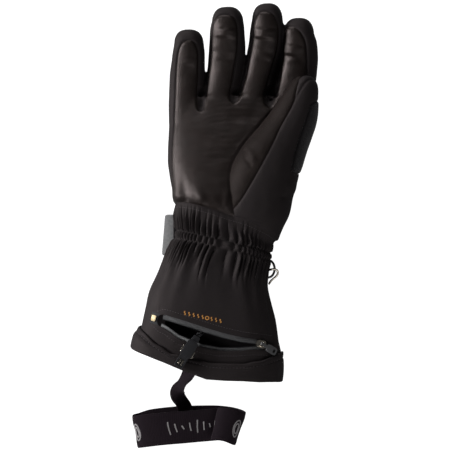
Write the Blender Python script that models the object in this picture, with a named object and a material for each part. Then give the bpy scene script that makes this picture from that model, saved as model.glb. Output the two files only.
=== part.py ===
"""A heated glove for the right hand, lying on its back with the palm up, fingers along +Y.

Metres, +Z up. The origin is on the floor, under the middle of the gathered wrist.
"""
import math
from collections import namedtuple

import bmesh
import bpy
from mathutils import Matrix, Vector

# Clearances and thicknesses
GAP = 0.0003
WELD = 0.000005
FLATNESS = math.radians(1.1)
HAND_WALL = 0.0037
CUFF_WALL = 0.0024
LEATHER = 0.0014
PLUSH = 0.0018
CLOTH = 0.0010
WEBBING = 0.0014
# How far cutters run past what they cut, and the half span over which a slope is read
CUT_REACH = 0.03
CUT_ABOVE = 0.2
# Shifts of a cutter that a Boolean tries in turn, and how closely volumes have to agree
HAIRS = (0.0, 0.00001, -0.000013, 0.00002, -0.00003)
HAIR_WAY = (0.7, 0.4, 1.0)
VOLUME_SLACK = 0.002
SLOPE_STEP = 0.002

# Overall sizes of the hand, the digits and the cuff
PALM_LENGTH = 0.110
PALM_WIDTH = 0.122
PALM_DEPTH = 0.050
FINGER_LENGTH = 0.094
FINGER_WIDTH = 0.0306
FINGER_DEPTH = 0.0290
FINGER_LIFT = 0.015
THUMB_LENGTH = 0.140
THUMB_WIDTH = 0.062
THUMB_DEPTH = 0.060
CUFF_LENGTH = 0.121
CUFF_WIDTH = 0.133
CUFF_DEPTH = 0.062
HEM_THICK = 0.0016
GATHERS = 28
GATHER_DEPTH = 0.0016

HAND_SIDES = 26
DIGIT_SIDES = 12
CUFF_SIDES = 2 * GATHERS
ROUNDNESS = 2.5
HEM_SIDES = 40
FINGER_ROLL = math.radians(8)

# Cross-sections across Y. Lengths are shares of the length, width and depth of the form:
# y and bow of its length, x and half of its width, floor and top of its depth. corner is
# the power of the superellipse.
Section = namedtuple("Section", "y x half floor top slope bow corner")

PALM = [
    Section(0.024, -0.011, 0.365, 0.080, 1.06, -0.356, 0.07, 2.5),
    Section(0.150, -0.012, 0.382, 0.055, 1.08, -0.150, 0.04, 2.5),
    Section(0.290, -0.006, 0.398, 0.010, 1.05, -0.040, 0.01, 2.5),
    Section(0.520, 0.022, 0.433, 0.00, 0.93, 0.00, 0.00, 2.5),
    Section(0.740, 0.064, 0.468, 0.00, 0.80, 0.00, 0.02, 2.6),
    Section(0.880, 0.090, 0.488, 0.02, 0.71, 0.00, 0.04, 2.6),
    Section(0.950, 0.098, 0.480, 0.07, 0.66, 0.00, 0.05, 2.6),
    Section(0.985, 0.100, 0.450, 0.16, 0.56, 0.00, 0.05, 2.6),
]
THUMB = [
    Section(-0.12, 0.40, 0.34, 0.16, 0.80, 0.00, 0.00, 2.4),
    Section(-0.02, 0.40, 0.42, 0.12, 0.88, 0.00, 0.00, 2.4),
    Section(0.06, 0.43, 0.475, 0.10, 0.95, 0.00, 0.00, 2.4),
    Section(0.17, 0.455, 0.505, 0.08, 1.00, 0.00, 0.00, 2.4),
    Section(0.33, 0.54, 0.52, 0.08, 1.04, 0.00, 0.00, 2.4),
    Section(0.48, 0.69, 0.47, 0.16, 1.06, 0.00, 0.00, 2.4),
    Section(0.62, 0.88, 0.385, 0.34, 1.07, 0.00, 0.00, 2.3),
    Section(0.75, 1.01, 0.285, 0.52, 1.08, 0.00, 0.00, 2.3),
    Section(0.84, 1.075, 0.215, 0.64, 1.08, 0.00, 0.00, 2.2),
    Section(0.89, 1.100, 0.155, 0.72, 1.04, 0.00, 0.00, 2.2),
    Section(0.915, 1.108, 0.085, 0.80, 0.98, 0.00, 0.00, 2.2),
]
CUFF = [
    Section(-0.020, -0.010, 0.324, 0.075, 0.835, -0.290, 0.030, 2.6),
    Section(-0.075, -0.008, 0.313, 0.090, 0.800, -0.250, 0.018, 2.7),
    Section(-0.120, -0.009, 0.311, 0.092, 0.800, -0.235, 0.012, 2.8),
    Section(-0.175, -0.016, 0.316, 0.085, 0.825, -0.235, 0.008, 2.9),
    Section(-0.255, -0.038, 0.327, 0.075, 0.860, -0.235, 0.00, 3.0),
    Section(-0.360, -0.065, 0.344, 0.060, 0.905, -0.235, 0.00, 3.0),
    Section(-0.480, -0.072, 0.380, 0.045, 0.945, -0.228, 0.00, 3.0),
    Section(-0.594, -0.079, 0.416, 0.031, 0.985, -0.220, -0.020, 3.0),
    Section(-0.730, -0.085, 0.440, 0.031, 1.000, -0.228, -0.062, 3.0),
    Section(-0.861, -0.0925, 0.460, 0.031, 1.000, -0.236, -0.115, 3.0),
    Section(-0.915, -0.108, 0.474, 0.031, 1.000, -0.236, -0.108, 3.0),
    Section(-0.993, -0.120, 0.484, 0.031, 1.000, -0.232, -0.085, 3.0),
]
# How deep the gathers are at each cuff section, as a share of GATHER_DEPTH
GATHER_AT = [0.30, 1.00, 1.25, 1.05, 0.75, 0.40, 0.15, 0.0, 0.0, 0.0, 0.0, 0.0]
HEM_FROM = 9
LINING_ROWS = (0, 2, 4, 6, 7, 8, 9, 11)

# Fingers. Roots are shares of the palm, length of FINGER_LENGTH, width and depth of
# FINGER_WIDTH and FINGER_DEPTH, lean and bow of the finger's own length.
Finger = namedtuple("Finger", "name root_x root_y length lean bow width depth lift")

FINGERS = [
    Finger("little", -0.274, 0.89, 0.765, 0.040, 0.004, 0.95, 0.92, 1.05),
    Finger("ring", -0.050, 0.89, 1.005, 0.088, 0.038, 1.02, 1.00, 1.00),
    Finger("middle", 0.182, 0.89, 1.025, 0.150, 0.042, 0.985, 1.00, 0.95),
    Finger("index", 0.450, 0.89, 0.890, 0.055, 0.100, 1.02, 1.00, 1.15),
]
# Width, depth, lift and bow along a finger, as shares of its own values
Station = namedtuple("Station", "along width depth lift bow")

FINGER_PROFILE = [
    Station(-0.16, 0.86, 0.94, 0.00, 0.0),
    Station(0.02, 0.90, 1.00, 0.00, 0.1),
    Station(0.20, 0.97, 1.00, 0.05, 0.55),
    Station(0.42, 1.00, 0.96, 0.22, 0.95),
    Station(0.62, 1.00, 0.96, 0.48, 1.0),
    Station(0.82, 0.95, 0.92, 0.80, 0.55),
    Station(1.00, 0.90, 0.84, 1.00, 0.0),
]
FINGERTIP = 0.0125
FINGER_FLOOR = 0.0020
# Where a finger's rings stand, outside and in its hollow, and the turns of its dome in degrees
FINGER_RINGS = [-0.16, 0.0, 0.17, 0.35, 0.53, 0.71]
HOLLOW_RINGS = [-0.16, 0.02, 0.30, 0.60]
DOME_TURNS = (25, 48, 70)
HOLLOW_TURNS = (30, 62)
DOME_POWER = 0.72
TIP_INSET = 0.55
TIP_FROM = 0.86

# Leather panels, as seen from above
LEATHER_SIDE_LEFT = 0.0030
LEATHER_SIDE_RIGHT = 0.0068
LEATHER_TIP = 0.0125
LEATHER_TIP_ROUND = 0.010
LEATHER_STATIONS = (0.22, 0.42, 0.62, 0.82)
Point = namedtuple("Point", "x y")
# Shares of PALM_WIDTH and PALM_LENGTH: the crease at the thumb, from finger to wrist
CREASE = [
    Point(0.52, 0.935),
    Point(0.44, 0.915),
    Point(0.355, 0.90),
    Point(0.275, 0.80),
    Point(0.150, 0.655),
    Point(0.080, 0.560),
    Point(0.040, 0.450),
    Point(0.024, 0.330),
    Point(0.024, 0.220),
    Point(0.032, 0.105),
]
PALM_EDGE = [
    Point(-0.366, 0.20),
    Point(-0.380, 0.34),
    Point(-0.388, 0.52),
    Point(-0.384, 0.70),
    Point(-0.374, 0.86),
]
# Shares of THUMB_WIDTH and THUMB_LENGTH: where the thumb's leather meets its shell
THUMB_SEAM = [
    Point(0.06, -0.10),
    Point(0.10, 0.08),
    Point(0.235, 0.175),
    Point(0.395, 0.275),
    Point(0.595, 0.445),
    Point(0.755, 0.580),
    Point(0.910, 0.720),
    Point(0.965, 0.790),
    Point(0.975, 0.835),
    Point(0.990, 0.880),
]
# The hand's middle surface, where the leather ends: along Y and up as shares of PALM_LENGTH
# and PALM_DEPTH, then shares along the longest finger and of its half depth above its centre
PALM_MIDDLE = [Point(-0.6, 0.58), Point(0.55, 0.50)]
FINGER_MIDDLES = (0.0, 0.25, 0.5, 0.75, 1.0)
FINGER_MIDDLE_RISE = 0.10
THUMB_MIDDLE = 0.62
WIPE_MIDDLE = 0.40
# The plush wiping panel on the thumb's outer side
WIPE = [
    Point(1.27, 0.765),
    Point(1.175, 0.770),
    Point(1.125, 0.700),
    Point(1.040, 0.550),
    Point(0.945, 0.400),
    Point(0.905, 0.300),
    Point(1.05, 0.285),
]

# Battery pocket and its zip. Shares of ZIP_LENGTH along the zip and of ZIP_GAPE across it.
ZIP_LENGTH = 0.096
ZIP_GAPE = 0.0170
ZIP_LEFT_X = -0.0582
ZIP_LEFT_Y = -0.0813
ZIP_TURN = math.radians(-12.6)
ZIP_TAPE = 0.0046
ZIP_TUCK = 0.0020
ZIP_TAPE_THICK = 0.0009
TAPE_DROP = 0.0008
Lip = namedtuple("Lip", "along upper lower")

ZIP_LIPS = [
    Lip(0.000, 0.16, -0.14),
    Lip(0.012, 0.26, -0.24),
    Lip(0.050, 0.33, -0.31),
    Lip(0.105, 0.325, -0.38),
    Lip(0.220, 0.280, -0.66),
    Lip(0.320, 0.235, -0.74),
    Lip(0.440, 0.170, -0.84),
    Lip(0.600, 0.110, -0.81),
    Lip(0.770, 0.100, -0.60),
    Lip(0.890, 0.150, -0.40),
    Lip(1.000, 0.180, -0.29),
]
TAPE_AT = [0.06, 0.105, 0.16, 0.22, 0.32, 0.44, 0.60, 0.77, 0.89, 0.99]

POCKET_DEPTH = 0.0150
POCKET_LENGTH = 0.082
POCKET_WIDTH = 0.040
POCKET_ALONG = 0.50
POCKET_ACROSS = 0.0020
POCKET_CORNER = 0.006

SLIDER_LENGTH = 0.0082
SLIDER_WIDTH = 0.0064
SLIDER_HEIGHT = 0.0012
SLIDER_ALONG = 0.953
SLIDER_ACROSS = -0.05
LUG_THICK = 0.0008
LUG_LENGTH = 0.0028
LUG_HEIGHT = 0.0031
PIN_RADIUS = 0.00055
PULL_LENGTH = 0.0158
PULL_WIDTH = 0.0064
PULL_THICK = 0.0018
PULL_NECK = 0.0026
PULL_EYE = 0.0015
PULL_TURN = math.radians(-18)
PULL_DROP = math.radians(11)

GARAGE_LEFT = -0.0058
GARAGE_LOW = -0.0044
GARAGE_HIGH = 0.0056
GARAGE_NOTCH_X = 0.0062
GARAGE_NOTCH_RADIUS = 0.0062
GARAGE_THICK = 0.0010
STOP_LENGTH = 0.0040
STOP_WIDTH = 0.0052
STOP_THICK = 0.0009

# Plug on the battery lead
PLUG_LENGTH = 0.0155
PLUG_WIDTH = 0.0094
PLUG_THICK = 0.0056
NOSE_LENGTH = 0.0100
NOSE_WIDTH = 0.0078
NOSE_THICK = 0.0046
RELIEF_LENGTH = 0.0055
RELIEF_WIDTH = 0.0060
RELIEF_THICK = 0.0040
CONTACT_WIDTH = 0.0012
CONTACT_LENGTH = 0.0050
PLUG_TURN = math.radians(56.8)
PLUG_TILT = math.radians(5)
PLUG_X = -0.0304
PLUG_Y = -0.1054
LATCH_LENGTH = 0.0060
LATCH_THICK = 0.0010
WIRE_DIAMETER = 0.0015
WIRE_SPACING = 0.0021

# Wire path after the plug: zip shares along and across, depth in shares of POCKET_DEPTH
Dip = namedtuple("Dip", "along across depth")
WIRE_PATH = [
    Dip(0.404, -0.200, -0.170),
    Dip(0.407, -0.180, -0.050),
    Dip(0.409, -0.176, 0.080),
    Dip(0.411, -0.176, 0.220),
    Dip(0.414, -0.160, 0.335),
    Dip(0.422, -0.080, 0.440),
    Dip(0.450, 0.090, 0.530),
    Dip(0.520, 0.330, 0.640),
    Dip(0.630, 0.400, 0.720),
    Dip(0.750, 0.330, 0.740),
]

# Wrist leash: a webbing strap and an elastic loop that lies flattened
STRAP_WIDTH = 0.0135
STRAP_LENGTH = 0.058
STRAP_X = -0.0300
STRAP_Y = -0.1100
# Shares of STRAP_LENGTH from the start, height in shares of STRAP_WIDTH, roll in degrees
Reach = namedtuple("Reach", "x y z roll")
STRAP_PATH = [
    Reach(0.00, 0.00, 0.42, 0),
    Reach(0.00, -0.10, 0.42, 0),
    Reach(-0.005, -0.22, 0.30, 4),
    Reach(-0.02, -0.33, 0.20, 8),
    Reach(-0.07, -0.45, 0.25, 16),
    Reach(-0.15, -0.555, 0.38, 28),
    Reach(-0.212, -0.65, 0.45, 34),
    Reach(-0.215, -0.745, 0.45, 30),
    Reach(-0.165, -0.835, 0.37, 16),
    Reach(-0.115, -0.925, 0.30, 4),
    Reach(-0.09, -1.015, 0.27, 0),
]
LOOP_LENGTH = 0.1020
LOOP_WIDTH = 0.0290
LOOP_HEIGHT = 0.0240
LOOP_THICK = 0.0016
LOOP_X = -0.0322
LOOP_Y = -0.1640
LOOP_PIVOT = -0.155
LOOP_TAPER = 0.150
# Around the loop: x share of LOOP_LENGTH, z share of LOOP_HEIGHT, rise share of LOOP_WIDTH
Turn = namedtuple("Turn", "x z rise")
LOOP_PATH = [
    Turn(-0.455, 0.055, -0.21),
    Turn(-0.36, 0.040, -0.10),
    Turn(-0.22, 0.040, -0.03),
    Turn(-0.08, 0.040, 0.01),
    Turn(0.08, 0.040, 0.03),
    Turn(0.25, 0.045, 0.03),
    Turn(0.38, 0.060, -0.02),
    Turn(0.460, 0.170, -0.08),
    Turn(0.490, 0.340, -0.11),
    Turn(0.497, 0.540, -0.12),
    Turn(0.485, 0.740, -0.10),
    Turn(0.445, 0.890, -0.03),
    Turn(0.385, 0.950, 0.05),
    Turn(0.315, 0.935, 0.08),
    Turn(0.270, 0.860, 0.07),
    Turn(0.262, 0.770, 0.05),
    Turn(0.295, 0.705, 0.04),
    Turn(0.335, 0.650, 0.03),
    Turn(0.320, 0.575, 0.02),
    Turn(0.250, 0.550, 0.00),
    Turn(0.12, 0.580, -0.03),
    Turn(-0.04, 0.610, -0.07),
    Turn(-0.20, 0.610, -0.11),
    Turn(-0.34, 0.580, -0.16),
    Turn(-0.440, 0.510, -0.21),
    Turn(-0.487, 0.390, -0.24),
    Turn(-0.497, 0.250, -0.25),
    Turn(-0.485, 0.130, -0.23),
]

# Closing strap on the back of the wrist and its moulded tab
WRIST_STRAP_WIDTH = 0.034
WRIST_STRAP_THICK = 0.0031
WRIST_STRAP_LENGTH = 0.070
WRIST_STRAP_X = -0.0105
WRIST_STRAP_Y = -0.0090
TAB_LENGTH = 0.0085
TAB_WIDTH = 0.0370
TAB_SLANT = 0.0030
TAB_THICK = 0.0024

# Clip on the thumb side
RING_HALF_X = 0.0058
RING_HALF_Y = 0.0079
RING_WIRE = 0.0016
RING_X = 0.0365
RING_Y = -0.0395
RING_Z = 0.0036
HOOK_WIRE = 0.0014
CLIP_WEB_WIDTH = 0.0085
CLIP_WEB_THICK = 0.0009
CLIP_WEB_LENGTH = 0.0093
# Hook path in shares of RING_HALF_Y from the ring's centre, height in shares of RING_WIRE
Bend = namedtuple("Bend", "x y z")
HOOK_PATH = [
    Bend(0.20, -0.30, -1.30),
    Bend(0.28, -0.22, -0.50),
    Bend(0.36, -0.14, 0.60),
    Bend(0.62, -0.07, 1.35),
    Bend(0.98, -0.03, 1.35),
    Bend(1.28, -0.14, 1.00),
    Bend(1.42, -0.40, 0.40),
    Bend(1.32, -0.74, 0.00),
    Bend(0.98, -1.08, -0.20),
    Bend(0.62, -1.38, -0.30),
    Bend(0.38, -1.78, -0.40),
]

Material = namedtuple("Material", "name color rough metal")
MATERIALS = {
    m.name: m
    for m in [
        Material("shell_cloth", (0.012, 0.011, 0.012), 0.80, 0.0),
        Material("leather", (0.014, 0.011, 0.010), 0.45, 0.0),
        Material("plush", (0.006, 0.006, 0.006), 0.95, 0.0),
        Material("zip_tape", (0.060, 0.060, 0.062), 0.55, 0.0),
        Material("gunmetal", (0.30, 0.28, 0.26), 0.30, 1.0),
        Material("rubber", (0.070, 0.070, 0.072), 0.50, 0.0),
        Material("grey_tab", (0.20, 0.20, 0.20), 0.45, 0.0),
        Material("plug_plastic", (0.020, 0.020, 0.022), 0.35, 0.0),
        Material("webbing", (0.010, 0.009, 0.010), 0.85, 0.0),
        Material("elastic", (0.018, 0.015, 0.017), 0.85, 0.0),
        Material("pocket_cloth", (0.008, 0.008, 0.008), 0.70, 0.0),
    ]
}


def remove_all():
    for obj in list(bpy.data.objects):
        bpy.data.objects.remove(obj, do_unlink=True)


def collection(name):
    made = bpy.data.collections.new(name)
    bpy.context.scene.collection.children.link(made)
    return made


def material(name):
    """The named Principled material, made on first use."""
    found = bpy.data.materials.get(name)
    if found:
        return found
    spec = MATERIALS[name]
    made = bpy.data.materials.new(name)
    made.use_nodes = True
    shader = made.node_tree.nodes["Principled BSDF"]
    shader.inputs["Base Color"].default_value = (*spec.color, 1.0)
    shader.inputs["Roughness"].default_value = spec.rough
    shader.inputs["Metallic"].default_value = spec.metal
    return made


def mesh_object(name, bm):
    """A new object in the scene from a bmesh, in triangles that point out."""
    bmesh.ops.triangulate(bm, faces=bm.faces)
    bmesh.ops.recalc_face_normals(bm, faces=bm.faces)
    mesh = bpy.data.meshes.new(name)
    bm.to_mesh(mesh)
    bm.free()
    obj = bpy.data.objects.new(name, mesh)
    bpy.context.scene.collection.objects.link(obj)
    return obj


def superellipse(angle, roundness):
    """A point of the unit superellipse, (across, up)."""
    c, s = math.cos(angle), math.sin(angle)
    power = 2 / roundness
    return math.copysign(abs(c) ** power, c), math.copysign(abs(s) ** power, s)


def ease(rows, column, at, key=0):
    """The smooth value of a column where the key column, running one way, is at."""
    rows = rows if rows[0][key] < rows[-1][key] else rows[::-1]
    xs = [row[key] for row in rows]
    ys = [getattr(row, column) for row in rows]
    at = min(max(at, xs[0]), xs[-1])
    i = max(k for k in range(len(xs) - 1) if xs[k] <= at)
    span = xs[i + 1] - xs[i]
    t = (at - xs[i]) / span

    def slope(k):
        if k in (0, len(xs) - 1):
            return 0.0 if k else (ys[1] - ys[0]) / (xs[1] - xs[0])
        return (ys[k + 1] - ys[k - 1]) / (xs[k + 1] - xs[k - 1])

    a, b = slope(i) * span, slope(i + 1) * span
    return (
        ys[i] * (1 + 2 * t) * (1 - t) ** 2
        + a * t * (1 - t) ** 2
        + ys[i + 1] * t * t * (3 - 2 * t)
        + b * t * t * (t - 1)
    )


def loft(name, rings, closed=False):
    """Joins rings of equal count. The ends are capped unless the rings close on themselves."""
    bm = bmesh.new()
    rows = [[bm.verts.new(p) for p in ring] for ring in rings]
    count = len(rows[0])
    pairs = list(zip(rows, rows[1:] + rows[:1] if closed else rows[1:]))
    for low, high in pairs:
        for i in range(count):
            j = (i + 1) % count
            bm.faces.new((low[i], low[j], high[j], high[i]))
    if not closed:
        bm.faces.new(rows[0])
        bm.faces.new(rows[-1])
    return mesh_object(name, bm)


def ring_across(section, size, inset, sides, puckers=0.0, stretch=1.0):
    """One ring of a form that runs along Y. size is (length, width, depth) of the form."""
    length, width, depth = size
    half = (section.half * width - inset) * stretch
    low = section.floor * depth + inset
    high = section.top * depth - inset
    ring = []
    for i in range(sides):
        across, up = superellipse(2 * math.pi * i / sides, section.corner)
        swell = puckers if i % 2 else -puckers
        offset = across * (half + swell)
        z = (low + high) / 2 + up * ((high - low) / 2 * stretch + swell)
        bow = section.bow * length * max(up, 0.0) ** 1.5
        y = section.y * length + section.slope * offset + bow
        ring.append((section.x * width + offset, y, z))
    return ring


def moved(ring, along):
    return [(x, y + along, z) for x, y, z in ring]


PALM_SIZE = (PALM_LENGTH, PALM_WIDTH, PALM_DEPTH)
THUMB_SIZE = (THUMB_LENGTH, THUMB_WIDTH, THUMB_DEPTH)
CUFF_SIZE = (CUFF_LENGTH, CUFF_WIDTH, CUFF_DEPTH)


def palm_form(inset, reach=0.0):
    """The palm and back of the hand, its skin moved in by inset. reach carries its wrist end out."""
    sides = HAND_SIDES if inset < CUFF_WALL else HAND_SIDES - 6
    rings = [ring_across(s, PALM_SIZE, inset, sides) for s in PALM]
    if reach:
        rings.insert(0, moved(rings[0], -reach))
    else:
        rings.insert(0, ring_across(PALM[0], PALM_SIZE, inset, sides, stretch=0.4))
    rings[-1] = moved(rings[-1], -inset)
    return loft("palm", rings)


def cuff_side():
    """Everything on the cuff's side of the seam between hand and cuff."""
    rings = [
        ring_across(PALM[0], PALM_SIZE, 0.0, HAND_SIDES, stretch=s) for s in (0.2, 1.0, 2.4)
    ]
    rings.append(moved(rings[-1], -CUFF_LENGTH))
    return loft("cuff_side", rings)


def thumb_form(inset):
    sides = DIGIT_SIDES + 4 if inset < CUFF_WALL else DIGIT_SIDES
    rings = []
    for s in THUMB:
        small = min(inset, TIP_INSET * s.half * THUMB_WIDTH)
        back = inset if s.y > TIP_FROM else 0.0
        rings.append(moved(ring_across(s, THUMB_SIZE, small, sides), -back))
    return loft("thumb", rings)


def finger_at(finger, share):
    """Centre, half width and half depth of a finger at a share of its length."""
    length = finger.length * FINGER_LENGTH
    bow = ease(FINGER_PROFILE, "bow", share) * finger.bow
    lift = ease(FINGER_PROFILE, "lift", share) * finger.lift * FINGER_LIFT
    depth = finger.depth * FINGER_DEPTH / 2
    centre = Vector(
        (
            finger.root_x * PALM_WIDTH + (finger.lean * share + bow) * length,
            finger.root_y * PALM_LENGTH + share * length,
            FINGER_FLOOR + depth + lift,
        )
    )
    half_width = ease(FINGER_PROFILE, "width", share) * finger.width * FINGER_WIDTH / 2
    half_depth = ease(FINGER_PROFILE, "depth", share) * depth
    return centre, half_width, half_depth


def finger_form(finger, inset):
    length = finger.length * FINGER_LENGTH
    tip = 1 - inset / length
    dome = (FINGERTIP - 0.6 * inset) / length
    fine = inset < CUFF_WALL
    sides = DIGIT_SIDES if fine else DIGIT_SIDES - 2
    body = (FINGER_RINGS if fine else HOLLOW_RINGS) + [tip - dome]
    turns = [math.radians(a) for a in (DOME_TURNS if fine else HOLLOW_TURNS)]
    shares = [(s, 1.0) for s in body]
    shares += [(tip - dome + dome * math.sin(a), math.cos(a) ** DOME_POWER) for a in turns]
    rings = []
    for share, shrink in shares:
        centre, half_width, half_depth = finger_at(finger, share)
        ahead, _, _ = finger_at(finger, share + 0.02)
        behind, _, _ = finger_at(finger, share - 0.02)
        along = (ahead - behind).normalized()
        if share < 0.02:
            along = Vector((0, 1, 0))
        tilted = Vector((-math.sin(FINGER_ROLL), 0, math.cos(FINGER_ROLL)))
        side = along.cross(tilted).normalized()
        up = side.cross(along)
        ring = []
        for i in range(sides):
            across, high = superellipse(2 * math.pi * i / sides, ROUNDNESS)
            point = (
                centre
                + side * across * (half_width - inset) * shrink
                + up * high * (half_depth - inset) * shrink
            )
            point.z = max(point.z, inset)
            ring.append(tuple(point))
        rings.append(ring)
    return loft(finger.name, rings)


def solid_volume(mesh):
    """The volume of a closed mesh, or zero where an edge is open or shared by more faces."""
    bm = bmesh.new()
    bm.from_mesh(mesh)
    closed = all(edge.is_manifold for edge in bm.edges)
    volume = bm.calc_volume(signed=True) if closed else 0.0
    bm.free()
    return volume


def plausible(mesh, operation, first, second):
    """Whether a Boolean of solids with these two volumes can have this result."""
    volume = solid_volume(mesh)
    slack = VOLUME_SLACK * max(first, second)
    if operation == "UNION":
        return max(first, second) - slack < volume < first + second + slack
    if operation == "INTERSECT":
        return 0.0 < volume < min(first, second) + slack
    return max(first - second, 0.0) - slack < volume < first + slack and volume > 0.0


def boolean(target, cutter, operation, keep=False):
    """Applies one exact Boolean to target. Where faces that lie on each other spoil it, the
    cutter is shifted by a hair and tried again. The cutter is removed unless it is kept."""
    first, second = solid_volume(target.data), solid_volume(cutter.data)
    modifier = target.modifiers.new(operation, "BOOLEAN")
    modifier.operation = operation
    modifier.solver = "EXACT"
    modifier.object = cutter
    meshes = []
    for hair in HAIRS:
        cutter.location = Vector(HAIR_WAY) * hair
        bpy.context.view_layer.update()
        graph = bpy.context.evaluated_depsgraph_get()
        meshes.append(bpy.data.meshes.new_from_object(target.evaluated_get(graph)))
        if plausible(meshes[-1], operation, first, second):
            break
    else:
        meshes.append(max(meshes, key=lambda mesh: len(mesh.polygons)))
    target.modifiers.clear()
    target.data = meshes[-1]
    cutter.location = (0, 0, 0)
    if not keep:
        bpy.data.objects.remove(cutter, do_unlink=True)
    return target


def tidy(obj, flatness=0.0):
    """Welds what a Boolean left too close together, joins faces flatter than flatness, and
    leaves only triangles."""
    bm = bmesh.new()
    bm.from_mesh(obj.data)
    if flatness:
        bmesh.ops.dissolve_limit(bm, angle_limit=flatness, verts=bm.verts, edges=bm.edges)
    bmesh.ops.remove_doubles(bm, verts=bm.verts, dist=WELD)
    bmesh.ops.dissolve_degenerate(bm, edges=bm.edges, dist=WELD)
    bmesh.ops.triangulate(bm, faces=bm.faces)
    bm.to_mesh(obj.data)
    bm.free()
    return obj


def largest(obj):
    """Keeps the largest island of a solid, so that no sliver of a cut stays behind."""
    bm = bmesh.new()
    bm.from_mesh(obj.data)
    left = set(bm.verts)
    islands = []
    while left:
        todo = [left.pop()]
        island = list(todo)
        while todo:
            for edge in todo.pop().link_edges:
                for vert in edge.verts:
                    if vert in left:
                        left.remove(vert)
                        todo.append(vert)
                        island.append(vert)
        islands.append(island)
    islands.sort(key=len)
    for island in islands[:-1]:
        bmesh.ops.delete(bm, geom=island, context="VERTS")
    bm.to_mesh(obj.data)
    bm.free()
    return obj


def hand_form(name, inset, reach=0.0):
    """Palm and four fingers as one solid."""
    hand = palm_form(inset, reach)
    for finger in FINGERS:
        boolean(hand, finger_form(finger, inset), "UNION")
    hand.name = name
    return tidy(hand)


def arc(centre, radius_x, radius_y, start, end, count):
    """Points along an arc, angles in degrees, in the plane of the floor."""
    points = []
    for i in range(count):
        angle = math.radians(start + (end - start) * i / (count - 1))
        points.append(
            Point(centre[0] + radius_x * math.cos(angle), centre[1] + radius_y * math.sin(angle))
        )
    return points


def grown(outline, distance):
    """An outline moved outward by a distance."""
    count = len(outline)
    pairs = [(outline[i], outline[(i + 1) % count]) for i in range(count)]
    turn = math.copysign(1, sum(a.x * b.y - b.x * a.y for a, b in pairs))
    normals = [Vector((b.y - a.y, a.x - b.x)).normalized() * turn for a, b in pairs]
    points = []
    for i, p in enumerate(outline):
        both = normals[i - 1] + normals[i]
        step = both * distance / max(both.dot(normals[i]), 0.5)
        points.append(Point(p.x + step.x, p.y + step.y))
    return points


def leather_outline():
    """Outline of the palm leather with its four finger fronts, seen from above."""
    points = [Point(p.x * PALM_WIDTH, p.y * PALM_LENGTH) for p in PALM_EDGE]
    for finger in FINGERS:
        length = finger.length * FINGER_LENGTH
        round_at = 1 - (LEATHER_TIP + LEATHER_TIP_ROUND) / length
        left, right = [], []
        for share in LEATHER_STATIONS:
            centre, half, _ = finger_at(finger, share * round_at)
            left.append(Point(centre.x - half + LEATHER_SIDE_LEFT, centre.y))
            right.append(Point(centre.x + half - LEATHER_SIDE_RIGHT, centre.y))
        centre, half, _ = finger_at(finger, round_at)
        middle = centre.x + (LEATHER_SIDE_LEFT - LEATHER_SIDE_RIGHT) / 2
        radius = half - (LEATHER_SIDE_LEFT + LEATHER_SIDE_RIGHT) / 2
        top = arc((middle, centre.y), radius, LEATHER_TIP_ROUND, 180, 0, 7)
        points += left + top + right[::-1]
    points += [Point(p.x * PALM_WIDTH, p.y * PALM_LENGTH) for p in CREASE]
    points += wrist_line(CREASE[-1].x * PALM_WIDTH, PALM_EDGE[0].x * PALM_WIDTH)
    return points


def wrist_line(x_from, x_to, count=6):
    """The seam between the hand and the cuff, seen from above."""
    first = PALM[0]
    points = []
    for i in range(1, count):
        x = x_from + (x_to - x_from) * i / count
        offset = x - first.x * PALM_WIDTH
        rim = max(0.0, 1 - abs(offset / (first.half * PALM_WIDTH)) ** first.corner)
        rise = first.bow * PALM_LENGTH * rim ** (1.5 / first.corner)
        y = first.y * PALM_LENGTH + first.slope * offset + rise + LEATHER
        points.append(Point(x, y))
    return points


def prism(name, outline, low, high):
    """An upright solid over an outline, from low to high."""
    bm = bmesh.new()
    base = [bm.verts.new((p.x, p.y, low)) for p in outline]
    face = bm.faces.new(base)
    raised = bmesh.ops.extrude_face_region(bm, geom=[face])
    top = [v for v in raised["geom"] if isinstance(v, bmesh.types.BMVert)]
    bmesh.ops.translate(bm, verts=top, vec=(0, 0, high - low))
    return mesh_object(name, bm)


def palm_side(name, drop=0.0):
    """The space on the palm side of the hand's middle surface, which rises along the fingers."""
    reach = 1.5 * PALM_WIDTH
    stations = [(p.x * PALM_LENGTH, p.y * PALM_DEPTH) for p in PALM_MIDDLE]
    longest = max(FINGERS, key=lambda f: f.length)
    for share in FINGER_MIDDLES:
        centre, _, half = finger_at(longest, share)
        stations.append((centre.y, centre.z + FINGER_MIDDLE_RISE * half))
    stations.append((stations[-1][0] + CUT_REACH, stations[-1][1]))
    rings = []
    for y, z in stations:
        low, high = z - drop, z + CUT_ABOVE
        rings.append([(-reach, y, low), (reach, y, low), (reach, y, high), (-reach, y, high)])
    return loft(name, rings)


def inlay(name, whole, cut, thick, under):
    """A sheet of a form's skin inside cut, and the recess that takes it with a gap round it."""
    sheet = whole(0.0)
    sheet.name = name
    boolean(sheet, cut(0.0), "INTERSECT")
    boolean(sheet, under(thick), "DIFFERENCE")
    recess = cut(GAP)
    boolean(recess, under(thick + GAP), "DIFFERENCE")
    return sheet, recess


def palm_cut(grow):
    cut = prism("palm_cut", grown(leather_outline(), grow), 0.0, CUT_ABOVE)
    return boolean(cut, palm_side("palm_side", grow), "INTERSECT")


def thumb_points(table):
    return [Point(p.x * THUMB_WIDTH, p.y * THUMB_LENGTH) for p in table]


def thumb_leather_cut(grow):
    seam = thumb_points(THUMB_SEAM)
    far = -THUMB_WIDTH
    past = 1.3 * THUMB_LENGTH
    outline = [Point(far, seam[0].y)] + seam + [Point(seam[-1].x, past), Point(far, past)]
    low = THUMB_MIDDLE * THUMB_DEPTH - grow
    return prism("thumb_cut", grown(outline, grow), low, CUT_ABOVE)


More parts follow.
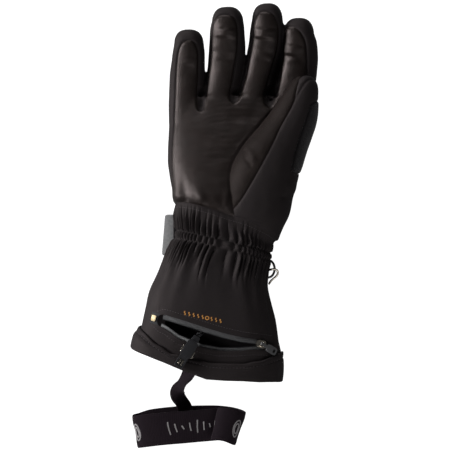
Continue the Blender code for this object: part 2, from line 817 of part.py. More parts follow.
def wipe_cut(grow):
    outline = grown(thumb_points(WIPE), grow)
    return prism("wipe_cut", outline, WIPE_MIDDLE * THUMB_DEPTH - grow, CUT_ABOVE)


def build_hand():
    """Shell of the hand, palm leather, thumb shell, thumb leather and wiping panel."""
    palm, recess = inlay(
        "palm_leather",
        lambda inset: hand_form("hand", inset),
        palm_cut,
        LEATHER,
        lambda inset: hand_form("under", inset, reach=CUT_REACH),
    )
    boolean(palm, thumb_form(HAND_WALL), "DIFFERENCE")
    shell = hand_form("hand_shell", 0.0)
    boolean(shell, recess, "DIFFERENCE")
    boolean(shell, hand_form("cavity", HAND_WALL, reach=CUT_REACH), "DIFFERENCE")
    boolean(shell, thumb_form(HAND_WALL), "DIFFERENCE")

    near_hand = hand_form("near_hand", -GAP, reach=CUT_REACH)
    beyond = cuff_side()
    thumb = thumb_form(0.0)
    thumb.name = "thumb_shell"
    boolean(thumb, thumb_form(HAND_WALL), "DIFFERENCE")
    skins = []
    for name, cut, thick in (
        ("thumb_leather", thumb_leather_cut, LEATHER),
        ("thumb_wipe", wipe_cut, PLUSH),
    ):
        skin, recess = inlay(name, thumb_form, cut, thick, thumb_form)
        boolean(skin, near_hand, "DIFFERENCE", keep=True)
        boolean(skin, beyond, "DIFFERENCE", keep=True)
        boolean(thumb, recess, "DIFFERENCE")
        skins.append(skin)
    boolean(thumb, near_hand, "DIFFERENCE")
    boolean(thumb, beyond, "DIFFERENCE")
    for obj in [shell, palm, thumb] + skins:
        largest(obj)
    return [
        (shell, "shell_cloth"),
        (palm, "leather"),
        (thumb, "shell_cloth"),
        (skins[0], "leather"),
        (skins[1], "plush"),
    ]


def cuff_rings(inset, sides=CUFF_SIDES, first=0):
    """Rings of the cuff from the gathers to the hem, moved in by inset."""
    rows = list(zip(CUFF, GATHER_AT))[first:]
    return [ring_across(s, CUFF_SIZE, inset, sides, GATHER_DEPTH * g) for s, g in rows]


def cuff_top(x, y, inset=0.0):
    """Height of the cuff's front surface over a point of the floor."""
    length, width, depth = CUFF_SIZE

    def at(share):
        k = min(max(k for k in range(len(CUFF)) if CUFF[k].y >= share), len(CUFF) - 2)
        low, high = CUFF[k], CUFF[k + 1]
        t = (share - low.y) / (high.y - low.y)
        s = Section(*(a + (b - a) * t for a, b in zip(low, high)))
        across = min(abs((x - s.x * width) / (s.half * width - inset)), 0.999)
        up = (1 - across**s.corner) ** (1 / s.corner)
        middle = (s.floor + s.top) / 2 * depth
        z = middle + up * ((s.top - s.floor) / 2 * depth - inset)
        bow = s.bow * length * up**1.5
        return s.y * length + s.slope * (x - s.x * width) + bow, z

    near, far = CUFF[0].y, CUFF[-1].y
    for _ in range(30):
        middle = (near + far) / 2
        if at(middle)[0] > y:
            near = middle
        else:
            far = middle
    return at((near + far) / 2)[1]


def zip_point(along, across):
    """A point of the floor from lengths along and across the zip."""
    c, s = math.cos(ZIP_TURN), math.sin(ZIP_TURN)
    return (ZIP_LEFT_X + along * c - across * s, ZIP_LEFT_Y + along * s + across * c)


def zip_shares(along, across):
    return zip_point(along * ZIP_LENGTH, across * ZIP_GAPE)


def gape_at(along):
    """Upper and lower lip of the opening at a share of the zip, as shares of ZIP_GAPE."""
    return ease(ZIP_LIPS, "upper", along), ease(ZIP_LIPS, "lower", along)


def slot_outline():
    upper = [Point(*zip_shares(p.along, p.upper)) for p in ZIP_LIPS]
    lower = [Point(*zip_shares(p.along, p.lower)) for p in reversed(ZIP_LIPS)]
    return upper + lower


def band(name, columns, low, high):
    """A thin solid that follows the cuff's front. Columns are rows of floor points across it;
    low and high are its depths under the surface."""
    rings = []
    for column in columns:
        top = [(x, y, cuff_top(x, y) - high) for x, y in column]
        base = [(x, y, cuff_top(x, y) - low) for x, y in reversed(column)]
        rings.append(top + base)
    return loft(name, rings)


def build_cuff():
    seam = moved(ring_across(PALM[0], PALM_SIZE, 0.0, CUFF_SIDES), -GAP)
    inner_seam = moved(ring_across(PALM[0], PALM_SIZE, CUFF_WALL, CUFF_SIDES), -GAP)
    outer = [seam] + cuff_rings(0.0)
    inner = [inner_seam] + [cuff_rings(CUFF_WALL)[k] for k in LINING_ROWS]
    gauntlet = loft("gauntlet", outer + inner[::-1], closed=True)
    slot = prism("slot", slot_outline(), CUFF_DEPTH / 2, 2 * CUFF_DEPTH)
    boolean(gauntlet, slot, "DIFFERENCE")

    outside = cuff_rings(-GAP - HEM_THICK, HEM_SIDES, HEM_FROM)
    inside = cuff_rings(-GAP, HEM_SIDES, HEM_FROM)
    over = CUFF_WALL + GAP
    outside.append(moved(outside[-1], -over * 0.6))
    inside.append(moved(inside[-1], -over * 0.6))
    hem = loft("hem_band", outside + inside[::-1], closed=True)
    return [(gauntlet, "shell_cloth"), (hem, "shell_cloth"), (build_pocket(), "pocket_cloth")]


def rounded_box(length, width, corner, steps=3):
    """Outline of a box with round corners about the origin."""
    points = []
    spots = ((1, 1, 0), (-1, 1, 90), (-1, -1, 180), (1, -1, 270))
    for sx, sy, start in spots:
        centre = (sx * (length / 2 - corner), sy * (width / 2 - corner))
        points += arc(centre, corner, corner, start, start + 90, steps)
    return points


def build_pocket():
    """The battery pocket, a bag that hangs under the zip inside the cuff."""
    def bag(name, inset, low, high):
        outline = rounded_box(POCKET_LENGTH - 2 * inset, POCKET_WIDTH - 2 * inset, POCKET_CORNER - inset)
        middle = POCKET_ALONG * ZIP_LENGTH
        placed = [Point(*zip_point(p.x + middle, p.y - POCKET_ACROSS)) for p in outline]
        return prism(name, placed, low, high)

    under = CUFF_DEPTH - CUFF_WALL - POCKET_DEPTH
    pocket = bag("pocket_bag", 0.0, under, 2 * CUFF_DEPTH)
    boolean(pocket, bag("hollow", CLOTH, under + CLOTH, 2.2 * CUFF_DEPTH), "DIFFERENCE")
    drop = CUFF_WALL + TAPE_DROP + ZIP_TAPE_THICK + TAPE_DROP
    within = loft("within", cuff_rings(drop))
    return boolean(pocket, within, "INTERSECT")


def build_zip():
    high = CUFF_WALL + TAPE_DROP
    low = high + ZIP_TAPE_THICK
    made = []
    for name, way in (("zip_tape_upper", 1), ("zip_tape_lower", -1)):
        columns = []
        for along in TAPE_AT:
            upper, lower = gape_at(along)
            lip = (upper if way > 0 else lower) * ZIP_GAPE
            reach = min(ZIP_TAPE, (upper - lower) * ZIP_GAPE / 2 - GAP)
            column = [(lip + way * ZIP_TUCK), lip, lip - way * reach]
            columns.append([zip_point(along * ZIP_LENGTH, across) for across in column])
        made.append((band(name, columns, low, high), "zip_tape"))

    columns = []
    steps = 8
    for i in range(steps + 1):
        across = GARAGE_LOW + (GARAGE_HIGH - GARAGE_LOW) * i / steps
        off = across - (GARAGE_LOW + GARAGE_HIGH) / 2
        right = GARAGE_NOTCH_X - math.sqrt(max(GARAGE_NOTCH_RADIUS**2 - off**2, 0.0))
        spots = [GARAGE_LEFT + (right - GARAGE_LEFT) * k / 3 for k in range(4)]
        columns.append([zip_point(a, across) for a in spots])
    made.append((band("zip_garage", columns, -GAP, -GAP - GARAGE_THICK), "grey_tab"))

    middle = (GARAGE_LOW + GARAGE_HIGH) / 2
    left = GARAGE_LEFT + GAP
    columns = []
    for across in (middle - STOP_WIDTH / 2, middle, middle + STOP_WIDTH / 2):
        columns.append([zip_point(left + STOP_LENGTH * k / 2, across) for k in range(3)])
    lift = -GAP - GARAGE_THICK - GAP
    made.append((band("zip_end_stop", columns, lift, lift - STOP_THICK), "gunmetal"))
    return made


def frame_at(along, across):
    """The frame that stands on the cuff's front at a point of the zip, X along it, Z outward."""
    here = zip_point(along, across)
    step = SLOPE_STEP
    x1, y1 = zip_point(along + step, across)
    x0, y0 = zip_point(along - step, across)
    run = Vector((x1 - x0, y1 - y0, cuff_top(x1, y1) - cuff_top(x0, y0))).normalized()
    x1, y1 = zip_point(along, across + step)
    x0, y0 = zip_point(along, across - step)
    over = Vector((x1 - x0, y1 - y0, cuff_top(x1, y1) - cuff_top(x0, y0)))
    out = run.cross(over).normalized()
    frame = Matrix((run, out.cross(run), out)).transposed().to_4x4()
    frame.translation = Vector((*here, cuff_top(*here)))
    return frame


def block(name, outline, low, high, frame):
    """An upright solid over an outline, placed by a frame."""
    obj = prism(name, outline, low, high)
    obj.data.transform(frame)
    return obj


def rod(name, start, end, radius, frame, sides=12):
    """A round bar between two points of a frame."""
    start, end = Vector(start), Vector(end)
    along = (end - start).normalized()
    side = along.orthogonal().normalized()
    over = along.cross(side)
    rings = []
    for centre in (start, end):
        turns = [2 * math.pi * i / sides for i in range(sides)]
        rings.append([tuple(centre + radius * (side * math.cos(a) + over * math.sin(a))) for a in turns])
    obj = loft(name, rings)
    obj.data.transform(frame)
    return obj


def shifted(outline, dx, dy=0.0):
    return [Point(p.x + dx, p.y + dy) for p in outline]


def build_slider():
    """The slider in the right end of the opening, and its pull on a cross pin."""
    frame = frame_at(SLIDER_ALONG * ZIP_LENGTH, SLIDER_ACROSS * ZIP_GAPE)
    base = -CUFF_WALL - GAP
    slider = block(
        "zip_slider",
        rounded_box(SLIDER_LENGTH, SLIDER_WIDTH, SLIDER_WIDTH / 4),
        base,
        SLIDER_HEIGHT,
        frame,
    )
    swivel = frame @ Matrix.Rotation(PULL_TURN, 4, "Z")
    inside = PULL_NECK / 2 + GAP
    pin_height = SLIDER_HEIGHT + LUG_HEIGHT - PIN_RADIUS - GAP
    for way in (-1, 1):
        outline = shifted(
            rounded_box(LUG_LENGTH, LUG_THICK, LUG_THICK / 4), 0.0, way * (inside + LUG_THICK / 2)
        )
        lug = block("lug", outline, SLIDER_HEIGHT - GAP, SLIDER_HEIGHT + LUG_HEIGHT, swivel)
        boolean(slider, lug, "UNION")
    ends = inside + LUG_THICK / 2
    pin = rod("pin", (0, -ends, pin_height), (0, ends, pin_height), PIN_RADIUS, swivel)
    boolean(slider, pin, "UNION")

    hinge = swivel @ Matrix.Translation((0, 0, pin_height)) @ Matrix.Rotation(PULL_DROP, 4, "Y")
    grip_from = PULL_EYE + PIN_RADIUS + SLIDER_LENGTH * 0.42
    grip = shifted(
        rounded_box(PULL_LENGTH - grip_from, PULL_WIDTH, PULL_WIDTH / 4),
        (PULL_LENGTH + grip_from) / 2,
    )
    pull = block("zip_pull", grip, -PULL_THICK / 2, PULL_THICK / 2, hinge)
    neck_length = grip_from + GAP + PULL_EYE
    neck = shifted(rounded_box(neck_length, PULL_NECK, PULL_NECK / 8), neck_length / 2 - PULL_EYE)
    boolean(pull, block("neck", neck, -PULL_THICK / 2, PULL_THICK / 2, hinge), "UNION")
    eye = rod("eye", (0, -PULL_NECK, 0), (0, PULL_NECK, 0), PIN_RADIUS + GAP, hinge)
    boolean(pull, eye, "DIFFERENCE")
    hole = shifted(
        rounded_box(PULL_WIDTH * 0.34, PULL_WIDTH * 0.52, PULL_WIDTH * 0.12),
        PULL_LENGTH - PULL_WIDTH * 0.45,
    )
    boolean(pull, block("hole", hole, -PULL_THICK, PULL_THICK, hinge), "DIFFERENCE")
    return [(slider, "gunmetal"), (pull, "rubber")]


def plug_frame():
    """The plug's frame: X runs from its nose to its wires, Z out of the cuff."""
    lift = cuff_top(PLUG_X, PLUG_Y) + GAP + HEM_THICK + GAP + PLUG_THICK / 2
    return (
        Matrix.Translation((PLUG_X, PLUG_Y, lift))
        @ Matrix.Rotation(PLUG_TURN, 4, "Z")
        @ Matrix.Rotation(PLUG_TILT, 4, "Y")
    )


def build_plug():
    frame = plug_frame()
    half = PLUG_LENGTH / 2

    def piece(name, start, length, width, thick, corner=0.22):
        outline = shifted(rounded_box(length, width, width * corner), start + length / 2)
        return block(name, outline, -thick / 2, thick / 2, frame)

    body = piece("plug_body", -half, PLUG_LENGTH, PLUG_WIDTH, PLUG_THICK)
    relief = piece("relief", half - GAP, RELIEF_LENGTH, RELIEF_WIDTH, RELIEF_THICK)
    boolean(body, relief, "UNION")
    nose = piece("nose", -half - NOSE_LENGTH, NOSE_LENGTH + GAP, NOSE_WIDTH, NOSE_THICK, 0.1)
    boolean(body, nose, "UNION")
    floor = NOSE_THICK / 2 - CLOTH
    outline = shifted(
        rounded_box(NOSE_LENGTH * 0.62, NOSE_WIDTH * 0.64, NOSE_WIDTH * 0.1),
        -half - NOSE_LENGTH * 0.56,
    )
    boolean(body, block("window", outline, floor, NOSE_THICK, frame), "DIFFERENCE")
    made = [(body, "plug_plastic")]
    for name, way in (("plug_contact_left", 1), ("plug_contact_right", -1)):
        outline = shifted(
            rounded_box(CONTACT_LENGTH, CONTACT_WIDTH, CONTACT_WIDTH / 4),
            -half - NOSE_LENGTH * 0.56,
            way * CONTACT_WIDTH,
        )
        contact = block(name, outline, floor + GAP, floor + GAP + LEATHER / 2, frame)
        made.append((contact, "gunmetal"))
    for name, way in (("plug_latch_left", 1), ("plug_latch_right", -1)):
        outline = shifted(
            rounded_box(LATCH_LENGTH, LATCH_THICK, LATCH_THICK / 4),
            -half * 0.35,
            way * (PLUG_WIDTH / 2 + GAP + LATCH_THICK / 2),
        )
        latch = block(name, outline, -PLUG_THICK / 4, PLUG_THICK / 4, frame)
        made.append((latch, "gunmetal"))
    return made


def smooth_path(points, steps, closed=False):
    """A Catmull-Rom curve through points."""
    count = len(points)
    path = []
    spans = count if closed else count - 1
    for i in range(spans):
        if closed:
            a, b, c, d = (points[(i + k) % count] for k in (-1, 0, 1, 2))
        else:
            a, b = points[max(i - 1, 0)], points[i]
            c, d = points[i + 1], points[min(i + 2, count - 1)]
        for k in range(steps):
            t = k / steps
            path.append(
                0.5 * ((2 * b) + (c - a) * t + (2 * a - 5 * b + 4 * c - d) * t**2
                       + (3 * b - a - 3 * c + d) * t**3)
            )
    if not closed:
        path.append(points[-1].copy())
    return path


def tube(name, points, diameter, steps=2, closed=False):
    """A round cord along a smooth path."""
    curve = bpy.data.curves.new(name, "CURVE")
    curve.dimensions = "3D"
    curve.bevel_depth = diameter / 2
    curve.bevel_resolution = 2
    curve.use_fill_caps = not closed
    path = smooth_path(points, steps, closed)
    spline = curve.splines.new("POLY")
    spline.points.add(len(path) - 1)
    for point, place in zip(spline.points, path):
        point.co = (*place, 1.0)
    spline.use_cyclic_u = closed
    holder = bpy.data.objects.new(name, curve)
    bpy.context.scene.collection.objects.link(holder)
    bpy.context.view_layer.update()
    graph = bpy.context.evaluated_depsgraph_get()
    mesh = bpy.data.meshes.new_from_object(holder.evaluated_get(graph))
    bpy.data.objects.remove(holder, do_unlink=True)
    obj = bpy.data.objects.new(name, mesh)
    bpy.context.scene.collection.objects.link(obj)
    return obj


def build_wires():
    """The two wires of the battery lead, side by side from the plug into the pocket."""
    frame = plug_frame()
    start = PLUG_LENGTH / 2 + RELIEF_LENGTH
    centres = [
        frame @ Vector((start + WIRE_DIAMETER * k, 0, -WIRE_DIAMETER * k * k / 3))
        for k in (0.3, 0.8)
    ]
    for dip in WIRE_PATH:
        x, y = zip_shares(dip.along, dip.across)
        centres.append(Vector((x, y, cuff_top(x, y) - dip.depth * POCKET_DEPTH)))
    made = []
    for name, way in (("lead_wire_left", 1), ("lead_wire_right", -1)):
        points = []
        for i, centre in enumerate(centres):
            along = centres[min(i + 1, len(centres) - 1)] - centres[max(i - 1, 0)]
            side = Vector((0, 0, 1)).cross(along).normalized() * WIRE_SPACING / 2
            points.append(centre + way * side)
        made.append((tube(name, points, WIRE_DIAMETER), "plug_plastic"))
    return made


def ribbon(name, path, rolls, width, thick, steps=2):
    """A flat strap along a smooth path, rolled about it by the given angles."""
    points = smooth_path([Vector(p) for p in path], steps)
    turns = smooth_path([Vector((r, 0, 0)) for r in rolls], steps)
    rings = []
    for i, point in enumerate(points):
        ahead = points[min(i + 1, len(points) - 1)]
        behind = points[max(i - 1, 0)]
        along = (ahead - behind).normalized()
        side = along.cross(Vector((0, 0, 1))).normalized()
        side.rotate(Matrix.Rotation(turns[i].x, 3, along))
        up = side.cross(along)
        ring = []
        for a, b in ((-1, -1), (1, -1), (1, 1), (-1, 1)):
            ring.append(tuple(point + side * a * width / 2 + up * b * thick / 2))
        rings.append(ring)
    return loft(name, rings)


def build_leash():
    path, rolls = [], []
    for p in STRAP_PATH:
        path.append((STRAP_X + p.x * STRAP_LENGTH, STRAP_Y + p.y * STRAP_LENGTH, p.z * STRAP_WIDTH))
        rolls.append(math.radians(p.roll))
    strap = ribbon("leash_strap", path, rolls, STRAP_WIDTH, WEBBING)

    centres = [
        Vector((p.x * LOOP_LENGTH, p.rise * LOOP_WIDTH, p.z * LOOP_HEIGHT)) for p in LOOP_PATH
    ]
    path = smooth_path(centres, 2, closed=True)
    rings = []
    for i, point in enumerate(path):
        along = path[(i + 1) % len(path)] - path[i - 1]
        out = Vector((along.z, 0, -along.x)).normalized() * LOOP_THICK / 2
        ring = []
        for way, low in ((1, 0), (1, 1), (-1, 1), (-1, 0)):
            spot = point + out * way
            pivot = LOOP_PIVOT * LOOP_LENGTH
            x = spot.x - (spot.x - pivot) * LOOP_TAPER * low
            y = LOOP_Y + point.y - low * LOOP_WIDTH
            ring.append((LOOP_X + x, y, max(spot.z, 0.0)))
        rings.append(ring)
    loop = loft("leash_loop", rings, closed=True)
    return [(strap, "webbing"), (loop, "elastic")]


def build_wrist():
    """The closing strap under the wrist and the tab at its end."""
    outline = shifted(
        rounded_box(WRIST_STRAP_LENGTH, WRIST_STRAP_WIDTH, WRIST_STRAP_WIDTH * 0.12),
        WRIST_STRAP_X,
        WRIST_STRAP_Y,
    )
    strap = prism("wrist_strap", outline, 0.0, WRIST_STRAP_THICK)
    right = WRIST_STRAP_X - WRIST_STRAP_LENGTH / 2 - GAP
    middle = right - TAB_LENGTH / 2
    half = TAB_WIDTH / 2
    outline = []
    for p in rounded_box(TAB_LENGTH, TAB_WIDTH, TAB_LENGTH * 0.22):
        slant = TAB_SLANT * (p.y - half) / TAB_WIDTH * (0.5 - p.x / TAB_LENGTH)
        outline.append(Point(middle + p.x + slant, WRIST_STRAP_Y + p.y))
    tab = prism("wrist_tab", outline, 0.0, TAB_THICK)
    return [(strap, "webbing"), (tab, "grey_tab")]


def build_clip():
    centre = Vector((RING_X, RING_Y, RING_Z))
    turns = [math.radians(a) for a in range(0, 360, 18)]
    oval = [centre + Vector((RING_HALF_X * math.cos(a), RING_HALF_Y * math.sin(a), 0)) for a in turns]
    ring = tube("clip_ring", oval, RING_WIRE, steps=1, closed=True)
    path = [
        centre + Vector((p.x * RING_HALF_Y, p.y * RING_HALF_Y, p.z * RING_WIRE)) for p in HOOK_PATH
    ]
    hook = tube("clip_hook", path, HOOK_WIRE)

    bar = RING_X - RING_HALF_X
    clear = RING_WIRE / 2 + 2 * GAP + CLIP_WEB_THICK / 2
    reach = CLIP_WEB_WIDTH / 2 / RING_HALF_Y
    sag = RING_HALF_X * (1 - math.sqrt(1 - reach**2))
    right = bar + clear + sag + GAP
    left = right - CLIP_WEB_LENGTH
    middle = [(left, 0.0), (left + clear, -clear), (right - clear, -clear)]
    middle += [(right, 0.0), (right - clear, clear), (left + clear, clear)]
    path = smooth_path([Vector((x, 0, z)) for x, z in middle], 3, closed=True)
    rings = []
    for i, point in enumerate(path):
        along = path[(i + 1) % len(path)] - path[i - 1]
        out = Vector((along.z, 0, -along.x)).normalized() * CLIP_WEB_THICK / 2
        ring_points = []
        for way, side in ((1, 1), (1, -1), (-1, -1), (-1, 1)):
            spot = point + out * way
            ring_points.append((spot.x, RING_Y + side * CLIP_WEB_WIDTH / 2, RING_Z + spot.z))
        rings.append(ring_points)
    web = loft("clip_loop", rings, closed=True)
    return [(ring, "gunmetal"), (hook, "gunmetal"), (web, "webbing")]


def finish(obj, material_name, target):
    """Keeps one solid: tidy mesh, its material, smooth shading and the part's collection."""
    tidy(obj, FLATNESS if material_name in ("shell_cloth", "leather") else 0.0)
    obj.data.materials.clear()
    obj.data.materials.append(material(material_name))
    obj.data.shade_smooth()
    obj.data.set_sharp_from_angle(angle=math.radians(40))
    for held in list(obj.users_collection):
        held.objects.unlink(obj)
    target.objects.link(obj)


def main():
    remove_all()
    target = collection("heated_glove")
    made = build_hand() + build_cuff() + build_zip() + build_slider() + build_plug()
    made += build_wires() + build_leash() + build_wrist() + build_clip()
    for obj, name in made:
        finish(obj, name, target)


main()
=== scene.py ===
"""Heated glove, palm up on the floor. Metres, +Y to the fingertips, +X to the thumb, +Z up.

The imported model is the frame. Each operator makes one group of pieces round it.
"""
import math

import bmesh
import bpy
import numpy as np
from mathutils import Matrix, Vector, noise
from mathutils.bvhtree import BVHTree
from mathutils.kdtree import KDTree


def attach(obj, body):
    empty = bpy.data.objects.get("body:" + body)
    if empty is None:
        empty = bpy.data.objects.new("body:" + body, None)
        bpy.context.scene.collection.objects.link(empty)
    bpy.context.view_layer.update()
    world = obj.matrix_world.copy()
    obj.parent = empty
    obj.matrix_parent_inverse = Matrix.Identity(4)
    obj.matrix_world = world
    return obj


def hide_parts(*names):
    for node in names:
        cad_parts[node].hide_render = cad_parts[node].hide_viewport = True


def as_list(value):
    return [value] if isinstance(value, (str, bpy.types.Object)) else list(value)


bl_info = {
    "name": "Heated glove",
    "version": (1, 0, 0),
    "blender": (4, 5, 0),
    "location": "View3D > Sidebar > Glove",
    "description": "Builds the shell, leather, cuff, zip, plug and leash of a heated glove",
    "category": "Add Mesh",
}

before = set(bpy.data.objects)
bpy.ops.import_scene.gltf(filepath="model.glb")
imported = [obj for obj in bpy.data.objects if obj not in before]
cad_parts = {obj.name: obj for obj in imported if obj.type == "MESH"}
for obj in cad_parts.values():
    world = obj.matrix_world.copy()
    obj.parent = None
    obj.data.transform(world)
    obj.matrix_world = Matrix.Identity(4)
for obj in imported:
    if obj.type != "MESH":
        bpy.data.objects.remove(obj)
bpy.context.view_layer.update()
MM = 0.001
GROUND = {}
# Numbers of the hand's panels, and of what is cut away
SHELL, PALM_FRONT, THUMB_SHELL, THUMB_FRONT, WIPE, GONE = range(6)

# Hand, in millimetres. Sections run along +Y: y, centre x, half width, underside, top,
# slope across, bow of the front, power of the superellipse.
PALM = [
    (2.6, -0.9, 43.9, 4.0, 53.0, -0.356, 7.7, 2.5),
    (16.5, -0.7, 45.6, 2.8, 54.0, -0.15, 4.4, 2.5),
    (30.5, 0.5, 47.4, 0.5, 52.7, -0.04, 1.1, 2.5),
    (57.2, 2.6, 53.0, 0.0, 46.5, 0.0, 0.0, 2.5),
    (81.4, 7.6, 57.4, 0.0, 40.0, 0.0, 2.2, 2.6),
    (96.8, 11.0, 59.6, 1.0, 35.6, 0.0, 4.4, 2.6),
    (104.5, 12.0, 58.6, 3.5, 33.6, 0.0, 5.5, 2.6),
    (109.0, 12.2, 54.9, 8.0, 31.8, 0.0, 5.5, 2.6),
]
# The palm's section inside the cuff, which is cut away along the seam at the wrist
PALM_ROOT = (-14.0, -1.3, 43.0, 5.0, 52.0, -0.356, 7.7, 2.5)
THUMB = [
    (-16.8, 24.8, 21.1, 9.6, 48.0, 0.0, 0.0, 2.4),
    (-2.8, 24.8, 26.0, 7.2, 52.8, 0.0, 0.0, 2.4),
    (8.4, 26.7, 29.4, 6.0, 57.0, 0.0, 0.0, 2.4),
    (23.8, 28.2, 31.3, 4.8, 60.0, 0.0, 0.0, 2.4),
    (46.2, 33.5, 32.2, 4.8, 62.4, 0.0, 0.0, 2.4),
    (67.2, 42.8, 29.1, 9.6, 63.6, 0.0, 0.0, 2.4),
    (86.8, 54.6, 23.9, 20.4, 64.2, 0.0, 0.0, 2.3),
    (105.0, 62.6, 17.7, 31.2, 64.8, 0.0, 0.0, 2.3),
    (117.6, 66.6, 13.6, 38.4, 64.8, 0.0, 0.0, 2.2),
    (124.6, 68.2, 9.6, 43.2, 62.4, 0.0, 0.0, 2.2),
    (128.1, 68.7, 5.3, 48.0, 58.8, 0.0, 0.0, 2.2),
]
# Fingers: y, centre x, half width, centre z, half depth; the last row is where the dome starts
FINGERS = {
    "little": [
        (84, -35.5, 13.6, 16.6, 15.4),
        (102, -35.0, 14.6, 16.4, 14.9),
        (116, -33.9, 15.5, 16.6, 13.9),
        (132, -33.6, 15.2, 18.6, 12.8),
        (150, -32.2, 14.1, 23.5, 12.4),
        (160.5, -31.8, 12.6, 26.8, 11.6),
    ],
    "ring": [
        (84, -7.0, 14.2, 17.9, 17.0),
        (104, -5.5, 14.4, 17.5, 16.0),
        (118, -3.0, 14.8, 17.6, 15.0),
        (135, 0.2, 15.9, 18.9, 14.0),
        (154, 1.8, 15.9, 23.4, 13.8),
        (172, 2.0, 14.8, 29.2, 13.2),
        (178.2, 2.3, 13.6, 31.2, 12.5),
    ],
    "middle": [
        (84, 20.6, 13.8, 17.9, 17.0),
        (104, 23.0, 14.0, 17.5, 16.0),
        (118, 27.3, 15.4, 17.6, 15.0),
        (135, 31.2, 14.9, 18.9, 14.0),
        (154, 35.5, 15.2, 23.0, 13.8),
        (173, 37.1, 14.3, 28.8, 13.2),
        (181.3, 37.3, 13.0, 31.0, 12.5),
    ],
    "index": [
        (84, 55.4, 15.2, 17.6, 16.6),
        (106, 58.2, 17.8, 17.3, 15.6),
        (126, 62.2, 18.2, 18.2, 14.5),
        (146, 66.2, 15.9, 22.6, 14.0),
        (160, 66.3, 14.7, 27.0, 13.5),
        (168, 64.8, 13.2, 29.8, 12.6),
    ],
}
DOME = {"little": 11.5, "ring": 12.8, "middle": 12.8, "index": 13.5}

# Seams seen from above, in millimetres
PALM_SEAM = [
    (-45.2, 16.0), (-45.9, 21.0), (-46.6, 35.9), (-46.8, 48.2), (-47.0, 65.7), (-45.6, 85.0),
    (-44.8, 100.7), (-44.0, 116.0), (-43.4, 130.5), (-42.2, 146.3), (-40.8, 152.6),
    (-38.4, 157.4), (-35.2, 160.4), (-31.5, 161.4), (-28.0, 160.4), (-25.4, 157.4),
    (-23.4, 152.0), (-22.9, 146.0), (-23.5, 130.5), (-24.3, 114.0), (-24.2, 104.6),
    (-22.6, 101.2), (-20.0, 100.8), (-18.2, 104.0), (-17.1, 112.0), (-14.4, 136.7),
    (-12.6, 152.4), (-11.8, 165.6), (-11.2, 173.0), (-9.3, 178.9), (-5.5, 182.2),
    (0.4, 183.2), (5.2, 182.2), (8.8, 178.9), (10.9, 174.0), (11.5, 165.0), (11.1, 152.4),
    (8.6, 140.0), (6.6, 127.0), (4.7, 114.5), (5.4, 109.6), (8.5, 107.8), (11.4, 110.6),
    (14.2, 118.0), (18.4, 131.4), (21.9, 150.7), (24.4, 165.6), (24.6, 175.0), (26.4, 181.0),
    (29.6, 184.6), (34.2, 185.9), (39.0, 184.8), (43.0, 181.8), (46.2, 176.6), (47.6, 167.3),
    (46.2, 153.3), (42.4, 140.0), (38.0, 126.0), (34.9, 113.0), (35.6, 107.4), (38.9, 104.3),
    (42.4, 107.0), (45.6, 116.0), (48.6, 130.0), (50.4, 145.4), (50.9, 160.0), (51.4, 168.0),
    (53.6, 172.6), (57.4, 173.4), (61.6, 171.6), (66.6, 166.2), (69.6, 160.0), (71.2, 148.0),
    (71.9, 131.4), (72.0, 108.0), (66.0, 98.0), (40.0, 60.0), (20.0, 30.0), (24.0, -20.0),
    (-10.0, -12.0), (-45.0, 2.0),
]
THUMB_SEAM = [
    (0.0, -6.0), (4.3, 9.4), (13.7, 21.4), (25.1, 40.5), (33.9, 56.4), (41.9, 71.8),
    (47.9, 84.7), (54.7, 96.6), (59.0, 105.6), (60.2, 112.0), (61.2, 118.0), (63.0, 125.0),
    (63.6, 140.0), (-60.0, 140.0), (-60.0, -6.0),
]
GORE_SEAM = [(59.0, 105.6), (64.1, 114.6), (68.1, 120.6), (72.2, 124.2), (79.0, 125.0)]
WIPE_SEAM = [
    (58.2, 46.6), (57.9, 50.4), (61.3, 65.6), (66.8, 82.0), (72.4, 98.0), (75.0, 103.5),
    (90.0, 104.5), (90.0, 46.0), (70.0, 45.0), (61.0, 45.2),
]

# Cuff, in millimetres: as the palm's sections, and how deep the gathers are there
CUFF = [
    (1.7, -1.2, 43.4, 4.6, 52.2, -0.350, 6.9, 2.5, 0.10),
    (-3.2, -1.3, 42.9, 4.7, 51.6, -0.300, 3.6, 2.6, 0.75),
    (-9.1, -1.1, 41.6, 5.6, 49.6, -0.260, 2.2, 2.7, 1.15),
    (-14.5, -1.2, 41.4, 5.7, 49.4, -0.240, 1.5, 2.8, 0.90),
    (-21.2, -2.1, 42.0, 5.3, 51.1, -0.235, 1.0, 2.9, 0.85),
    (-30.9, -5.8, 42.8, 4.7, 53.3, -0.235, 0.0, 3.0, 0.95),
    (-43.6, -8.6, 45.8, 3.7, 56.1, -0.235, 0.0, 3.0, 0.55),
    (-58.1, -9.6, 50.5, 2.8, 58.6, -0.228, 0.0, 3.0, 0.22),
    (-71.9, -10.5, 55.3, 1.9, 61.1, -0.220, -2.4, 3.0, 0.08),
    (-88.3, -11.3, 58.5, 1.9, 62.0, -0.228, -7.5, 3.0, 0.0),
    (-104.2, -12.3, 61.2, 1.9, 62.0, -0.236, -13.9, 3.0, 0.0),
    (-110.7, -14.4, 63.0, 1.9, 62.0, -0.236, -13.1, 3.0, 0.0),
    (-120.2, -16.0, 64.4, 1.9, 62.0, -0.232, -10.3, 3.0, 0.0),
]
ELASTIC_ROWS = (3.0, 4.0)
# Rows of the cuff: where the hem starts, and how far below that its stitches are
HEM_FROM, HEM_STITCH = 10.0, 0.38
